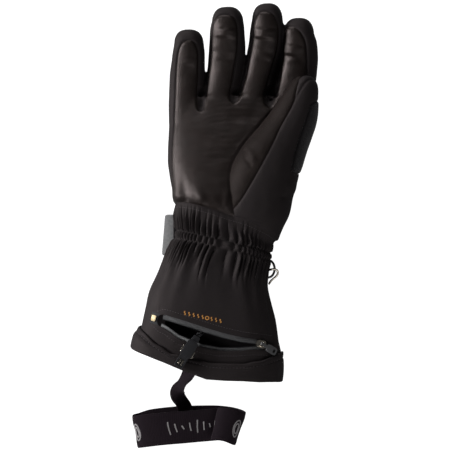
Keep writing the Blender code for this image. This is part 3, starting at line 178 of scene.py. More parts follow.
# How far the front edges of the cuff bend along Y, in millimetres, at shares of its half
# width: at the zip's row, at the hem's seam and at the hem's edge
BEND = [
    (-1.00, 0.0, 0.0, -1.5), (-0.77, -6.0, -8.9, -3.0), (-0.54, -6.9, -14.6, -5.0),
    (-0.27, -7.4, -14.8, -8.2), (0.00, -7.5, -14.5, -10.6), (0.25, -7.4, -11.5, -8.0),
    (0.48, -7.0, -7.8, -5.0), (0.69, -6.0, -2.5, -3.0), (0.80, -5.0, 1.5, -1.5),
    (0.90, -3.0, 5.5, -0.5), (1.00, 0.0, 8.5, 0.0),
]
CUFF_WALL = 2.4

# Zip: its left end, length, widest opening and turn; the X from which the lower half is
# painted darker, as painted shade beside the plug and its wires; lips as shares along and across
ZIP_X, ZIP_Y, ZIP_LENGTH, ZIP_GAPE = -58.2, -81.3, 96.0, 17.0
ZIP_TURN = math.radians(-12.6)
PLUG_SHADE_X = -22.0
LIPS = [
    (0.000, 0.16, -0.14), (0.012, 0.26, -0.24), (0.050, 0.33, -0.31), (0.105, 0.325, -0.38),
    (0.220, 0.280, -0.66), (0.320, 0.235, -0.74), (0.440, 0.170, -0.84), (0.600, 0.110, -0.81),
    (0.770, 0.100, -0.60), (0.890, 0.150, -0.40), (1.000, 0.180, -0.29),
]


class GloveSizes(bpy.types.PropertyGroup):
    """Sizes of the cloth, the leather and their seams"""

    def length(name, description, value):
        return bpy.props.FloatProperty(
            name=name, description=description, default=value * MM, unit="LENGTH",
            precision=5)

    voxel: length("Cloth Detail", "Face size of the padded hand", 1.1)
    seam_width: length("Seam Width", "Half width of the groove at a seam", 0.9)
    seam_depth: length("Seam Depth", "Depth of the groove at a seam", 0.7)
    puff: length("Puff", "How far the padding swells between seams", 0.8)
    leather: length("Leather", "Thickness of the leather", 1.2)
    softshell: length("Softshell", "Thickness of the softshell's edge", 1.6)
    gathers: bpy.props.IntProperty(
        name="Gathers", description="Pleats round the wrist", default=56, min=8)
    gather_depth: length("Gather Depth", "Depth of the pleats at the wrist", 1.7)
    stitch: length("Stitch", "Length of a stitch", 1.9)


class GloveColours(bpy.types.PropertyGroup):
    """Colours of the glove's cloths, leather and metal"""

    def colour(name, value):
        return bpy.props.FloatVectorProperty(
            name=name, description=name + " colour", subtype="COLOR", size=3,
            default=value, min=0.0, max=1.0)

    softshell: colour("Softshell", (0.0112, 0.0094, 0.0101))
    leather: colour("Leather", (0.0092, 0.0066, 0.0058))
    plush: colour("Plush", (0.0150, 0.0132, 0.0145))
    tape: colour("Zip Tape", (0.050, 0.050, 0.052))
    piping: colour("Piping", (0.155, 0.157, 0.160))
    grey: colour("Grey Rubber", (0.075, 0.075, 0.078))
    tab: colour("Tab", (0.27, 0.27, 0.275))
    black: colour("Black Plastic", (0.016, 0.016, 0.018))
    webbing: colour("Webbing", (0.0070, 0.0046, 0.0064))
    metal: colour("Metal", (0.58, 0.53, 0.46))
    gunmetal: colour("Gunmetal", (0.06, 0.06, 0.065))
    print_mark: colour("Print", (0.52, 0.24, 0.055))
    woven_mark: colour("Woven Mark", (0.30, 0.285, 0.29))


def sizes():
    return bpy.context.scene.glove_sizes


def colours():
    return bpy.context.scene.glove_colours


# Small mathematics

def spline_rows(rows, at):
    """A row of a table at a fractional index, on a smooth curve through its rows."""
    i = min(int(at), len(rows) - 2)
    t = at - i
    a, b = rows[max(i - 1, 0)], rows[i]
    c, d = rows[i + 1], rows[min(i + 2, len(rows) - 1)]
    return [
        0.5 * (2 * q + (r - p) * t + (2 * p - 5 * q + 4 * r - s) * t * t
               + (3 * q - p - 3 * r + s) * t ** 3)
        for p, q, r, s in zip(a, b, c, d)
    ]


def superellipse(angle, power):
    """A point of a unit superellipse at an angle."""
    c, s = math.cos(angle), math.sin(angle)
    return (math.copysign(abs(c) ** (2 / power), c), math.copysign(abs(s) ** (2 / power), s))


def bump(at, middle, width):
    """A smooth hump of height 1 round a middle."""
    return math.exp(-(((at - middle) / width) ** 2))


def smooth_step(x, low, high):
    """From 0 at low to 1 at high, with soft ends."""
    t = min(max((x - low) / (high - low), 0.0), 1.0)
    return t * t * (3 - 2 * t)


def curve_through(points, steps, closed=False):
    """A smooth curve through points."""
    points = [Vector(p) for p in points]
    count = len(points)
    made = []
    for i in range(count if closed else count - 1):
        if closed:
            a, b, c, d = (points[(i + k) % count] for k in (-1, 0, 1, 2))
        else:
            a, b = points[max(i - 1, 0)], points[i]
            c, d = points[i + 1], points[min(i + 2, count - 1)]
        for k in range(steps):
            t = k / steps
            made.append(0.5 * (2 * b + (c - a) * t + (2 * a - 5 * b + 4 * c - d) * t * t
                               + (3 * b - a - 3 * c + d) * t ** 3))
    if not closed:
        made.append(points[-1].copy())
    return made


def evenly(points, step):
    """Points a step apart along a line, each with the line's direction."""
    made, left = [], 0.0
    for a, b in zip(points, points[1:]):
        run = (b - a).length
        if run < 1e-9:
            continue
        way = (b - a) / run
        while left < run:
            made.append((a + way * left, way))
            left += step
        left -= run
    return made


def outline_distance(points, outline):
    """Signed distance in the floor's plane from points to a closed outline, negative inside."""
    xy = np.asarray(points)[:, :2]
    outline = np.asarray(outline, float) * MM
    best = np.full(len(xy), 1e9)
    inside = np.zeros(len(xy), bool)
    for a, b in zip(outline, np.roll(outline, -1, axis=0)):
        ab = b - a
        t = np.clip(((xy - a) @ ab) / max(ab @ ab, 1e-12), 0, 1)
        best = np.minimum(best, np.linalg.norm(xy - a - t[:, None] * ab, axis=1))
        if a[1] != b[1]:
            spans = (a[1] > xy[:, 1]) != (b[1] > xy[:, 1])
            cross = a[0] + (xy[:, 1] - a[1]) * ab[0] / ab[1]
            inside ^= spans & (xy[:, 0] < cross)
    return np.where(inside, -best, best)


def rounded(outline, steps=3):
    """The outline on a smooth curve through its points."""
    curve = curve_through([(x, y, 0) for x, y in outline], steps, closed=True)
    return [(p.x, p.y) for p in curve]


# Meshes

def tube_grid(around, along, place, closed_v=False):
    """A grid wrapped by place(u, v), u and v from 0 to 1, welded where it closes."""
    bm = bmesh.new()
    bm.loops.layers.uv.new("UVMap")
    bmesh.ops.create_grid(bm, x_segments=around, y_segments=along, size=0.5, calc_uvs=True)
    for vert in bm.verts:
        u, v = vert.co.x + 0.5, vert.co.y + 0.5
        if u > 1 - 1e-6:
            u = 0.0
        if closed_v and v > 1 - 1e-6:
            v = 0.0
        vert.co = place(u, v)
    bmesh.ops.remove_doubles(bm, verts=bm.verts, dist=1e-7)
    bmesh.ops.recalc_face_normals(bm, faces=bm.faces)
    return bm


def section_point(row, u, inset=0.0, swell=0.0):
    """A point of a cross-section row, moved in by inset and out by swell, in millimetres."""
    y, x, half, low, high, slope, bow, power = row[:8]
    across, up = superellipse(2 * math.pi * u, power)
    offset = across * (half - inset + swell)
    z = (low + high) / 2 + up * ((high - low) / 2 - inset + swell)
    return Vector((x + offset, y + slope * offset + bow * max(up, 0.0) ** 1.5, z))


def lofted(rows, around, along):
    """A closed form over a table of sections."""
    def place(u, v):
        at = v * (len(rows) - 1)
        row = spline_rows(rows, at)
        point = section_point(row, u)
        middle = Vector((row[1], row[0], (row[3] + row[4]) / 2))
        if v < 1e-6 or v > 1 - 1e-6:
            point = middle
        return point * MM
    return tube_grid(around, along, place)


def finger_loft(name):
    """A finger over its table of sections, with a domed tip."""
    rows = FINGERS[name]
    dome = DOME[name]
    roll = Matrix.Rotation(math.radians(-8), 3, "Y")

    def place(u, v):
        body = 0.74
        at = min(v / body, 1.0) * (len(rows) - 1)
        y, x, half, z, deep = spline_rows(rows, at)
        shrink = 1.0
        if v > body:
            turn = (v - body) / (1 - body) * math.pi / 2
            y += dome * math.sin(turn)
            z += 0.12 * dome * math.sin(turn)
            shrink = max(math.cos(turn), 0.0) ** 0.72
        if v < 1e-6:
            shrink = 0.0
        across, up = superellipse(2 * math.pi * u, 2.5)
        off = roll @ Vector((across * half * shrink, 0, up * deep * shrink))
        return Vector((x + off.x, y, max(z + off.z, 0.2))) * MM

    return tube_grid(40, 44, place)


def to_object(name, bm):
    """A linked object from a bmesh, which is freed."""
    mesh = bpy.data.meshes.new(name)
    bm.to_mesh(mesh)
    bm.free()
    obj = bpy.data.objects.new(name, mesh)
    bpy.context.scene.collection.objects.link(obj)
    return obj


def joined(parts):
    """One bmesh of several, which are freed."""
    whole = bmesh.new()
    for part in parts:
        mesh = bpy.data.meshes.new("part")
        part.to_mesh(mesh)
        part.free()
        whole.from_mesh(mesh)
        bpy.data.meshes.remove(mesh)
    return whole


def applied(obj):
    """The object's mesh with its modifiers applied."""
    bpy.context.view_layer.update()
    graph = bpy.context.evaluated_depsgraph_get()
    mesh = bpy.data.meshes.new_from_object(obj.evaluated_get(graph))
    obj.modifiers.clear()
    obj.data = mesh
    return obj


def merged_skin(bm, voxel, smooth):
    """One skin round overlapping closed forms, its joins softened."""
    obj = to_object("skin", bm)
    remesh = obj.modifiers.new("remesh", "REMESH")
    remesh.mode = "VOXEL"
    remesh.voxel_size = voxel
    soften = obj.modifiers.new("soften", "SMOOTH")
    soften.factor = 0.5
    soften.iterations = smooth
    applied(obj)
    made = bmesh.new()
    made.from_mesh(obj.data)
    bpy.data.objects.remove(obj)
    return made


def places(bm):
    """The places of all vertices, as rows of an array."""
    return np.array([v.co for v in bm.verts], float).reshape(-1, 3)


def cut_along(bm, field, wanted, layer, inside):
    """Cuts the faces of one panel along the line where field(points) is zero, and gives the
    side where it is negative to another panel."""
    bm.verts.index_update()
    values = field(places(bm))
    level = {v: f for v, f in zip(bm.verts, values)}
    for v in bm.verts:
        if abs(level[v]) < 0.06 * MM:
            level[v] = 0.0
    crossing = [
        e for e in bm.edges
        if level[e.verts[0]] * level[e.verts[1]] < 0
        and any(f[layer] == wanted for f in e.link_faces)
    ]
    for e in crossing:
        a, b = e.verts
        share = level[a] / (level[a] - level[b])
        _, made = bmesh.utils.edge_split(e, a, share)
        level[made] = 0.0
    line = [v for v in bm.verts if level[v] == 0.0]
    bmesh.ops.connect_verts(bm, verts=line)
    for face in bm.faces:
        if face[layer] == wanted:
            most = max((level[v] for v in face.verts), key=abs)
            if most < 0:
                face[layer] = inside


def cut_off(bm, field, layer):
    """Cuts away what is in the first panel where field(points) is negative."""
    cut_along(bm, field, SHELL, layer, GONE)
    bmesh.ops.delete(bm, geom=[f for f in bm.faces if f[layer] == GONE], context="FACES")


def panel(bm, number):
    """A copy of one panel."""
    made = bm.copy()
    kept = made.faces.layers.int["panel"]
    gone = [f for f in made.faces if f[kept] != number]
    bmesh.ops.delete(made, geom=gone, context="FACES")
    return made


def push(bm, amount):
    """Moves each vertex along its normal by amount(vertex)."""
    bm.normal_update()
    shifts = [(v, v.normal * amount(v)) for v in bm.verts]
    for v, shift in shifts:
        v.co += shift
    return bm


def solid_sheet(obj, thick):
    """Gives an open piece a wall, inwards from its surface."""
    wall = obj.modifiers.new("wall", "SOLIDIFY")
    wall.thickness = thick
    wall.offset = -1.0
    wall.use_even_offset = False
    return applied(obj)


def finished(obj, finish, slot=None, nodes=(), body="glove", sharp=50):
    """Gives a piece its finish, shading and body, and hides the CAD nodes it stands for."""
    obj.data.materials.clear()
    obj.data.materials.append(finish)
    obj.data.shade_smooth()
    obj.data.set_sharp_from_angle(angle=math.radians(sharp))
    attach(obj, body)
    if nodes:
        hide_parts(*nodes)
    return obj


def stitches(name, line, length, gap, radius, finish, slot):
    """Stitches along a line of points, each with the direction out of the cloth."""
    parts = []
    for spot, way in evenly([p for p, _ in line], length + gap):
        near = min(line, key=lambda item: (item[0] - spot).length_squared)
        out = near[1]
        side = out.cross(way).normalized()
        bm = bmesh.new()
        bmesh.ops.create_uvsphere(bm, u_segments=6, v_segments=5, radius=1.0)
        turn = Matrix((way * length / 2, side * radius, out * radius * 0.8)).transposed()
        for v in bm.verts:
            v.co = spot + turn @ Vector((v.co.z, v.co.y, v.co.x)) + out * radius * 0.25
        parts.append(bm)
    whole = joined(parts)
    bmesh.ops.recalc_face_normals(whole, faces=whole.faces)
    return finished(to_object(name, whole), finish, slot)


def strap(path, width, thick, rolls, steps):
    """A flat band along a smooth path, rolled about it, its edges rounded."""
    points = curve_through(path, steps)
    turns = [p.x for p in curve_through([(r, 0, 0) for r in rolls], steps)]
    frames = []
    for i, point in enumerate(points):
        way = (points[min(i + 1, len(points) - 1)] - points[max(i - 1, 0)]).normalized()
        side = way.cross(Vector((0, 0, 1)))
        side = side.normalized() if side.length > 1e-6 else Vector((1, 0, 0))
        side.rotate(Matrix.Rotation(turns[i], 3, way))
        frames.append((point, side, side.cross(way)))
    return band_loft(frames, width, thick, 8)


def band_loft(frames, width, thick, across):
    """A band through frames of (point, side, out)."""
    last = len(frames) - 1

    def place(u, v):
        point, side, out = frames[int(round(v * last))]
        a, b = superellipse(2 * math.pi * u, 6.0)
        return point + side * a * width / 2 + out * (b * thick / 2)

    return capped(tube_grid(4 * across, last, place))


def capped(bm):
    """The tube with both of its ends closed."""
    bmesh.ops.holes_fill(bm, edges=[e for e in bm.edges if e.is_boundary], sides=0)
    bmesh.ops.recalc_face_normals(bm, faces=bm.faces)
    return bm


# Finishes, kept by name, with the tints of the shine on leather and on webbing

FINISH = {}
WARM = (1.0, 0.85, 0.83)
PLUM = (1.0, 0.8, 0.95)


def node(tree, kind, links=None, **values):
    """A shader node with some properties or sockets set, and some linked."""
    made = tree.nodes.new(kind)
    for name, value in values.items():
        if hasattr(made, name):
            setattr(made, name, value)
        else:
            made.inputs[name.replace("_", " ")].default_value = value
    for name, source in (links or {}).items():
        tree.links.new(source, made.inputs[name])
    return made


def math_node(tree, operation, first, second=0.0, third=None):
    """The output of a maths node on sockets or numbers."""
    made = tree.nodes.new("ShaderNodeMath")
    made.operation = operation
    for socket, value in zip(made.inputs, (first, second, third)):
        if isinstance(value, bpy.types.NodeSocket):
            tree.links.new(value, socket)
        elif value is not None:
            socket.default_value = value
    return made.outputs[0]


def new_group(name, inputs, outputs):
    """An empty node group with named sockets, and its input and output nodes."""
    tree = bpy.data.node_groups.new(name, "ShaderNodeTree")
    for label, kind, value in inputs:
        socket = tree.interface.new_socket(label, in_out="INPUT", socket_type=kind)
        if value is not None:
            socket.default_value = value
    for label in outputs:
        tree.interface.new_socket(label, in_out="OUTPUT", socket_type="NodeSocketFloat")
    return tree, tree.nodes.new("NodeGroupInput"), tree.nodes.new("NodeGroupOutput")


def grain_group():
    """Leather grain: rounded cells of uneven size, fine pores and long soft creases."""
    tree, given, made = new_group("leather_grain", [
        ("Vector", "NodeSocketVector", None), ("Cell", "NodeSocketFloat", 1.1 * MM),
        ("Crease", "NodeSocketFloat", 0.5)], ["Height", "Tone"])
    scale = math_node(tree, "DIVIDE", 1.0, given.outputs["Cell"])
    warp = node(tree, "ShaderNodeTexNoise", {"Vector": given.outputs["Vector"]},
                Scale=260.0, Detail=2.0)
    bent = node(tree, "ShaderNodeVectorMath",
                {0: warp.outputs["Color"], 1: warp.outputs["Color"],
                 2: given.outputs["Vector"]}, operation="MULTIPLY_ADD")
    cells = node(tree, "ShaderNodeTexVoronoi", {"Vector": bent.outputs[0], "Scale": scale},
                 feature="SMOOTH_F1", Smoothness=0.7)
    pebble = math_node(tree, "MULTIPLY_ADD", cells.outputs["Distance"], -1.1, 1.0)
    pores = node(tree, "ShaderNodeTexNoise", {"Vector": given.outputs["Vector"]},
                 Scale=2600.0, Detail=3.0)
    fine = math_node(tree, "MULTIPLY_ADD", pores.outputs["Fac"], 0.02, pebble)
    folds = node(tree, "ShaderNodeTexNoise", {"Vector": given.outputs["Vector"]},
                 Scale=110.0, Detail=1.0, Distortion=1.0)
    crease = math_node(tree, "MULTIPLY", folds.outputs["Fac"], given.outputs["Crease"])
    tree.links.new(math_node(tree, "ADD", fine, crease), made.inputs["Height"])
    blotch = node(tree, "ShaderNodeTexNoise", {"Vector": given.outputs["Vector"]},
                  Scale=45.0, Detail=3.0)
    worn = math_node(tree, "MULTIPLY_ADD", pebble, 0.35, blotch.outputs["Fac"])
    tree.links.new(math_node(tree, "MULTIPLY", worn, 0.75), made.inputs["Tone"])
    return tree


def knit_group():
    """Fine brushed cloth: crossed threads under a soft nap, with faint broad unevenness."""
    tree, given, made = new_group("brushed_cloth", [
        ("Vector", "NodeSocketVector", None), ("Thread", "NodeSocketFloat", 0.7 * MM)],
        ["Height", "Tone"])
    pitch = math_node(tree, "DIVIDE", math.tau / 20, given.outputs["Thread"])
    waves = []
    for way in ("X", "Y"):
        wave = node(tree, "ShaderNodeTexWave",
                    {"Vector": given.outputs["Vector"], "Scale": pitch},
                    bands_direction=way, wave_profile="SIN", Distortion=0.6)
        waves.append(wave.outputs["Fac"])
    threads = math_node(tree, "MULTIPLY", waves[0], waves[1])
    nap = node(tree, "ShaderNodeTexNoise", {"Vector": given.outputs["Vector"]},
               Scale=1500.0, Detail=4.0)
    tree.links.new(math_node(tree, "MULTIPLY_ADD", nap.outputs["Fac"], 1.2, threads),
                   made.inputs["Height"])
    broad = node(tree, "ShaderNodeTexNoise", {"Vector": given.outputs["Vector"]},
                 Scale=28.0, Detail=3.0)
    speck = math_node(tree, "MULTIPLY_ADD", nap.outputs["Fac"], 0.5, broad.outputs["Fac"])
    tree.links.new(math_node(tree, "MULTIPLY", speck, 0.66), made.inputs["Tone"])
    return tree


def ribs_group():
    """Woven ribs across a band, from its UV map: ribs run along, threads go over and under."""
    tree, given, made = new_group("woven_ribs", [
        ("Vector", "NodeSocketVector", None), ("Across", "NodeSocketFloat", 40.0),
        ("Along", "NodeSocketFloat", 120.0)], ["Height", "Tone"])
    split = node(tree, "ShaderNodeSeparateXYZ", {0: given.outputs["Vector"]})
    across = math_node(tree, "MULTIPLY", split.outputs["X"], given.outputs["Across"])
    along = math_node(tree, "MULTIPLY", split.outputs["Y"], given.outputs["Along"])
    rib = math_node(tree, "PINGPONG", along, 0.5)
    row = math_node(tree, "FLOOR", along)
    shifted = math_node(tree, "MULTIPLY_ADD", row, 0.5, across)
    thread = math_node(tree, "PINGPONG", shifted, 0.5)
    weave = math_node(tree, "MULTIPLY_ADD", thread, 0.6, math_node(tree, "MULTIPLY", rib, 1.6))
    tree.links.new(weave, made.inputs["Height"])
    tree.links.new(math_node(tree, "MULTIPLY_ADD", weave, 0.55, 0.25), made.inputs["Tone"])
    return tree


def wear_group():
    """Faint scratches and smudges on metal and plastic."""
    tree, given, made = new_group("light_wear", [
        ("Vector", "NodeSocketVector", None), ("Size", "NodeSocketFloat", 1.0)],
        ["Height", "Tone"])
    scale = math_node(tree, "DIVIDE", 700.0, given.outputs["Size"])
    marks = node(tree, "ShaderNodeTexNoise",
                 {"Vector": given.outputs["Vector"], "Scale": scale}, Detail=5.0)
    tree.links.new(marks.outputs["Fac"], made.inputs["Height"])
    tree.links.new(marks.outputs["Fac"], made.inputs["Tone"])
    return tree


def surface(name, colour, group, settings, rough, tone, depth, metal=0.0, specular=0.5,
            sheen=0.0, source="Object", gloss=(1.0, 1.0, 1.0)):
    """Adds a material to FINISH: its colour and roughness vary with the group's tone, its
    normal with the group's height."""
    made = bpy.data.materials.new(name)
    made.use_nodes = True
    tree = made.node_tree
    shader = tree.nodes["Principled BSDF"]
    for label, value in (("Metallic", metal), ("Specular IOR Level", specular),
                         ("Sheen Weight", sheen), ("Sheen Roughness", 0.4),
                         ("Specular Tint", (*gloss, 1.0))):
        shader.inputs[label].default_value = value
    place = tree.nodes.new("ShaderNodeTexCoord")
    pattern = tree.nodes.new("ShaderNodeGroup")
    pattern.node_tree = group
    tree.links.new(place.outputs[source], pattern.inputs["Vector"])
    for label, value in settings.items():
        pattern.inputs[label].default_value = value
    low, high = tone
    ramp = node(tree, "ShaderNodeMapRange", {"Value": pattern.outputs["Tone"]},
                clamp=True, From_Min=0.25, From_Max=0.75)
    mix = node(tree, "ShaderNodeMix", {"Factor": ramp.outputs["Result"]}, data_type="RGBA")
    mix.inputs[6].default_value = (*[c * low for c in colour], 1.0)
    mix.inputs[7].default_value = (*[c * high for c in colour], 1.0)
    tree.links.new(mix.outputs[2], shader.inputs["Base Color"])
    rough_map = node(tree, "ShaderNodeMapRange", {"Value": pattern.outputs["Tone"]},
                     clamp=True, To_Min=rough[1], To_Max=rough[0])
    tree.links.new(rough_map.outputs["Result"], shader.inputs["Roughness"])
    relief = node(tree, "ShaderNodeBump", {"Height": pattern.outputs["Height"]},
                  Strength=1.0, Distance=depth)
    tree.links.new(relief.outputs["Normal"], shader.inputs["Normal"])
    FINISH[name] = made


def make_finishes():
    """Every material. Depths are in metres."""
    tint = colours()
    grain, knit, ribs, wear = grain_group(), knit_group(), ribs_group(), wear_group()
    plain = {"Thread": 0.7 * MM}
    surface("softshell", tint.softshell, knit, plain, (0.62, 0.78), (0.8, 1.2), 0.05 * MM,
            specular=0.22, sheen=0.02, gloss=WARM)
    surface("lining", [c * 1.5 for c in tint.softshell], knit, {"Thread": 1.1 * MM},
            (0.8, 0.95), (0.6, 0.9), 0.1 * MM, specular=0.1)
    surface("leather", tint.leather, grain, {"Cell": 2.1 * MM, "Crease": 0.8}, (0.28, 0.52),
            (0.4, 1.3), 0.045 * MM, specular=0.33, gloss=WARM)
    surface("dull_leather", tint.leather, grain, {"Cell": 1.7 * MM, "Crease": 0.8},
            (0.52, 0.68), (0.6, 1.25), 0.06 * MM, specular=0.14, gloss=WARM)
    surface("plush", tint.plush, knit, {"Thread": 0.9 * MM}, (0.85, 1.0), (0.6, 1.5),
            0.35 * MM, specular=0.1, sheen=0.2)
    surface("tape", tint.tape, ribs, {"Across": 12.0, "Along": 90.0}, (0.5, 0.7), (0.7, 1.25),
            0.25 * MM, specular=0.3, source="UV")
    surface("piping", tint.piping, ribs, {"Across": 6.0, "Along": 60.0}, (0.4, 0.6),
            (0.85, 1.1), 0.1 * MM, specular=0.4, source="UV")
    surface("grey", tint.grey, wear, {"Size": 0.7}, (0.45, 0.62), (0.85, 1.15), 0.03 * MM,
            specular=0.4)
    surface("tab", tint.tab, wear, {"Size": 1.5}, (0.45, 0.65), (0.8, 1.15), 0.06 * MM,
            specular=0.4)
    surface("black_plastic", tint.black, wear, {}, (0.25, 0.4), (0.85, 1.2), 0.02 * MM)
    surface("rubber", tint.black, wear, {}, (0.6, 0.75), (0.85, 1.2), 0.03 * MM, specular=0.2)
    surface("wire", tint.black, wear, {}, (0.25, 0.35), (0.9, 1.2), 0.02 * MM)
    surface("webbing", tint.webbing, ribs, {"Across": 60.0, "Along": 60.0}, (0.6, 0.85),
            (0.7, 1.4), 0.3 * MM, specular=0.17, sheen=0.03, source="UV", gloss=PLUM)
    surface("elastic", tint.webbing, ribs, {"Across": 64.0, "Along": 260.0}, (0.6, 0.85),
            (0.75, 1.4), 0.12 * MM, specular=0.13, sheen=0.03, source="UV", gloss=PLUM)
    surface("metal", tint.metal, wear, {}, (0.16, 0.3), (0.8, 1.1), 0.01 * MM, metal=1.0)
    surface("brass", (0.26, 0.21, 0.13), wear, {}, (0.45, 0.6), (0.8, 1.1), 0.01 * MM,
            metal=1.0)
    surface("gunmetal", tint.gunmetal, wear, {}, (0.28, 0.4), (0.8, 1.3), 0.01 * MM,
            metal=0.9)
    surface("print", tint.print_mark, knit, plain, (0.5, 0.7), (0.75, 1.1), 0.04 * MM,
            specular=0.3)
    surface("woven_mark", tint.woven_mark, knit, plain, (0.6, 0.8), (0.7, 1.15), 0.1 * MM,
            specular=0.25)
    surface("thread", [c * 5.0 for c in tint.softshell], wear, {}, (0.5, 0.7), (0.8, 1.2),
            0.02 * MM, specular=0.3)


# The hand

# x, y of both ends, width and height, in millimetres
FOLDS = {
    "palm": [
        (-41.0, 22.0, -43.5, 52.0, 4.2, 1.1),
        (-34.0, 22.0, -38.0, 50.0, 3.6, -1.0),
        (-20.0, 20.0, -27.5, 48.0, 4.4, 1.3),
        (-6.0, 16.0, -17.0, 36.0, 4.0, 0.7),
        (0.5, 16.0, 2.0, 36.0, 2.4, 0.8),
        (12.0, 62.0, 27.0, 79.0, 4.5, 0.9),
        (2.0, 95.0, 30.0, 93.0, 5.0, -0.7),
        (33.0, 103.0, 46.0, 88.0, 4.0, 0.6),
        (-9.0, 179.0, 7.0, 177.5, 2.2, -0.25),
        (-11.0, 153.0, 3.0, 148.0, 2.5, -0.28),
        (-11.0, 143.5, 8.0, 145.0, 2.2, -0.28),
        (-8.0, 149.0, 8.0, 151.5, 2.8, 0.25),
        (23.0, 154.0, 43.0, 149.0, 2.7, -0.28),
        (24.0, 147.5, 41.0, 142.0, 2.5, -0.28),
        (28.0, 151.0, 42.0, 145.5, 2.5, 0.28),
        (52.0, 147.0, 66.0, 148.5, 2.8, -0.33),
        (51.0, 139.0, 70.0, 142.0, 2.7, -0.28),
        (53.0, 131.0, 70.0, 130.0, 2.5, -0.28),
        (52.5, 143.0, 66.0, 145.0, 3.1, 0.28),
        (-38.0, 133.0, -26.0, 137.0, 2.8, -0.17),
    ],
    "thumb": [
        (17.5, 66.0, 16.5, 58.0, 1.6, -0.9),
        (16.5, 58.0, 23.0, 50.0, 1.7, -0.8),
        (20.0, 66.0, 26.0, 54.0, 2.6, 0.8),
        (26.0, 78.0, 36.0, 90.0, 3.0, -0.4),
        (60.0, 45.0, 66.0, 41.0, 2.2, -1.2),
        (52.0, 34.0, 62.0, 31.0, 4.0, 0.9),
        (50.0, 24.0, 60.0, 25.0, 2.2, -0.7),
    ],
}
WRIST_FOLDS = 24
# Where the leather bulges over the fingertips: x, y of both ends, width and height
PADS = [
    (0.3, 163.0, 1.2, 172.0, 7.5, 2.0), (33.5, 162.0, 35.0, 172.0, 7.5, 2.2),
    (57.5, 148.0, 60.5, 158.0, 7.5, 1.9), (-34.0, 140.0, -33.0, 148.0, 7.0, 0.7),
]
# Height of the hand's middle surface along Y: the leather is only in front of it
MIDDLE = [
    (-60, 29), (60, 25), (84, 20), (110, 19), (135, 21), (154, 25.5), (173, 31), (194, 34),
]


def wrist_field(points):
    """How far points are beyond the seam between hand and cuff, negative on the cuff's side."""
    p = np.asarray(points) / MM
    up = np.maximum((p[:, 2] - 28.5) / 24.5, 0.0)
    seam = 2.6 - 0.356 * (p[:, 0] + 1.3) + 7.7 * np.minimum(up, 1.1) ** 1.5
    return (p[:, 1] - seam) * MM


def fold_field(points, part):
    """Height of a part's folds at points. Those that start at the wrist fade from there."""
    p = np.asarray(points)[:, :2] / MM
    total = np.zeros(len(p))
    pads = PADS if part == "palm" else []
    for x1, y1, x2, y2, width, height in FOLDS[part] + pads:
        a, ab = np.array((x1, y1)), np.array((x2 - x1, y2 - y1))
        t = np.clip(((p - a) @ ab) / (ab @ ab), 0, 1)
        off = np.linalg.norm(p - a - t[:, None] * ab, axis=1)
        fade = 1 - t * t * (3 - 2 * t)
        if y1 > WRIST_FOLDS:
            fade = np.minimum(1.0, 4 * t * (1 - t) + 0.25)
        total += height * fade * np.exp(-((off / width) ** 2))
    return total * MM


def hand_skin():
    """The whole padded hand with its panels cut and numbered."""
    size = sizes()
    hand_parts = [lofted([PALM_ROOT] + PALM, 72, 60)]
    hand_parts += [finger_loft(name) for name in FINGERS]
    thumb_part = lofted(THUMB, 64, 72)
    trees = [BVHTree.FromBMesh(part) for part in hand_parts]
    thumb_tree = BVHTree.FromBMesh(thumb_part)
    bm = merged_skin(joined(hand_parts + [thumb_part]), size.voxel, 7)
    roots = [v for v in bm.verts if 86 * MM < v.co.y < 122 * MM and v.co.z > 22 * MM
             and v.co.x < 58 * MM - (v.co.y - 86 * MM)]
    for _ in range(40):
        bmesh.ops.smooth_vert(bm, verts=roots, factor=0.5, use_axis_z=True)
    layer = bm.faces.layers.int.new("panel")

    def thumb_field(points):
        def gap(tree, p):
            spot = tree.find_nearest(p)
            return spot[3] if spot[0] else 1.0
        return np.array([
            gap(thumb_tree, Vector(p)) - min(gap(tree, Vector(p)) for tree in trees)
            for p in points
        ])

    def front(seam, heights):
        outline = rounded(seam)

        def field(points):
            p = np.asarray(points)
            middle = np.interp(p[:, 1], [h[0] * MM for h in heights],
                               [h[1] * MM for h in heights])
            return np.maximum(outline_distance(p, outline), middle - p[:, 2])
        return field

    cut_off(bm, wrist_field, layer)
    cut_along(bm, thumb_field, SHELL, layer, THUMB_SHELL)
    cut_along(bm, front(PALM_SEAM, MIDDLE), SHELL, layer, PALM_FRONT)
    cut_along(bm, front(THUMB_SEAM, [(-60, 37), (200, 37)]), THUMB_SHELL, layer, THUMB_FRONT)
    cut_along(bm, front(WIPE_SEAM, [(-60, 24), (200, 24)]), THUMB_SHELL, layer, WIPE)
    return bm, layer


def seam_distance(bm, layer, extra):
    """For each vertex, how far it is from the nearest seam or extra spot."""
    spots = []
    for e in bm.edges:
        numbers = {f[layer] for f in e.link_faces}
        if len(numbers) > 1 or len(e.link_faces) == 1:
            spots.append((e.verts[0].co + e.verts[1].co) / 2)
            spots.append(e.verts[0].co.copy())
    spots += extra
    tree = KDTree(len(spots))
    for i, spot in enumerate(spots):
        tree.insert(spot, i)
    tree.balance()
    return {v: tree.find(v.co)[2] for v in bm.verts}


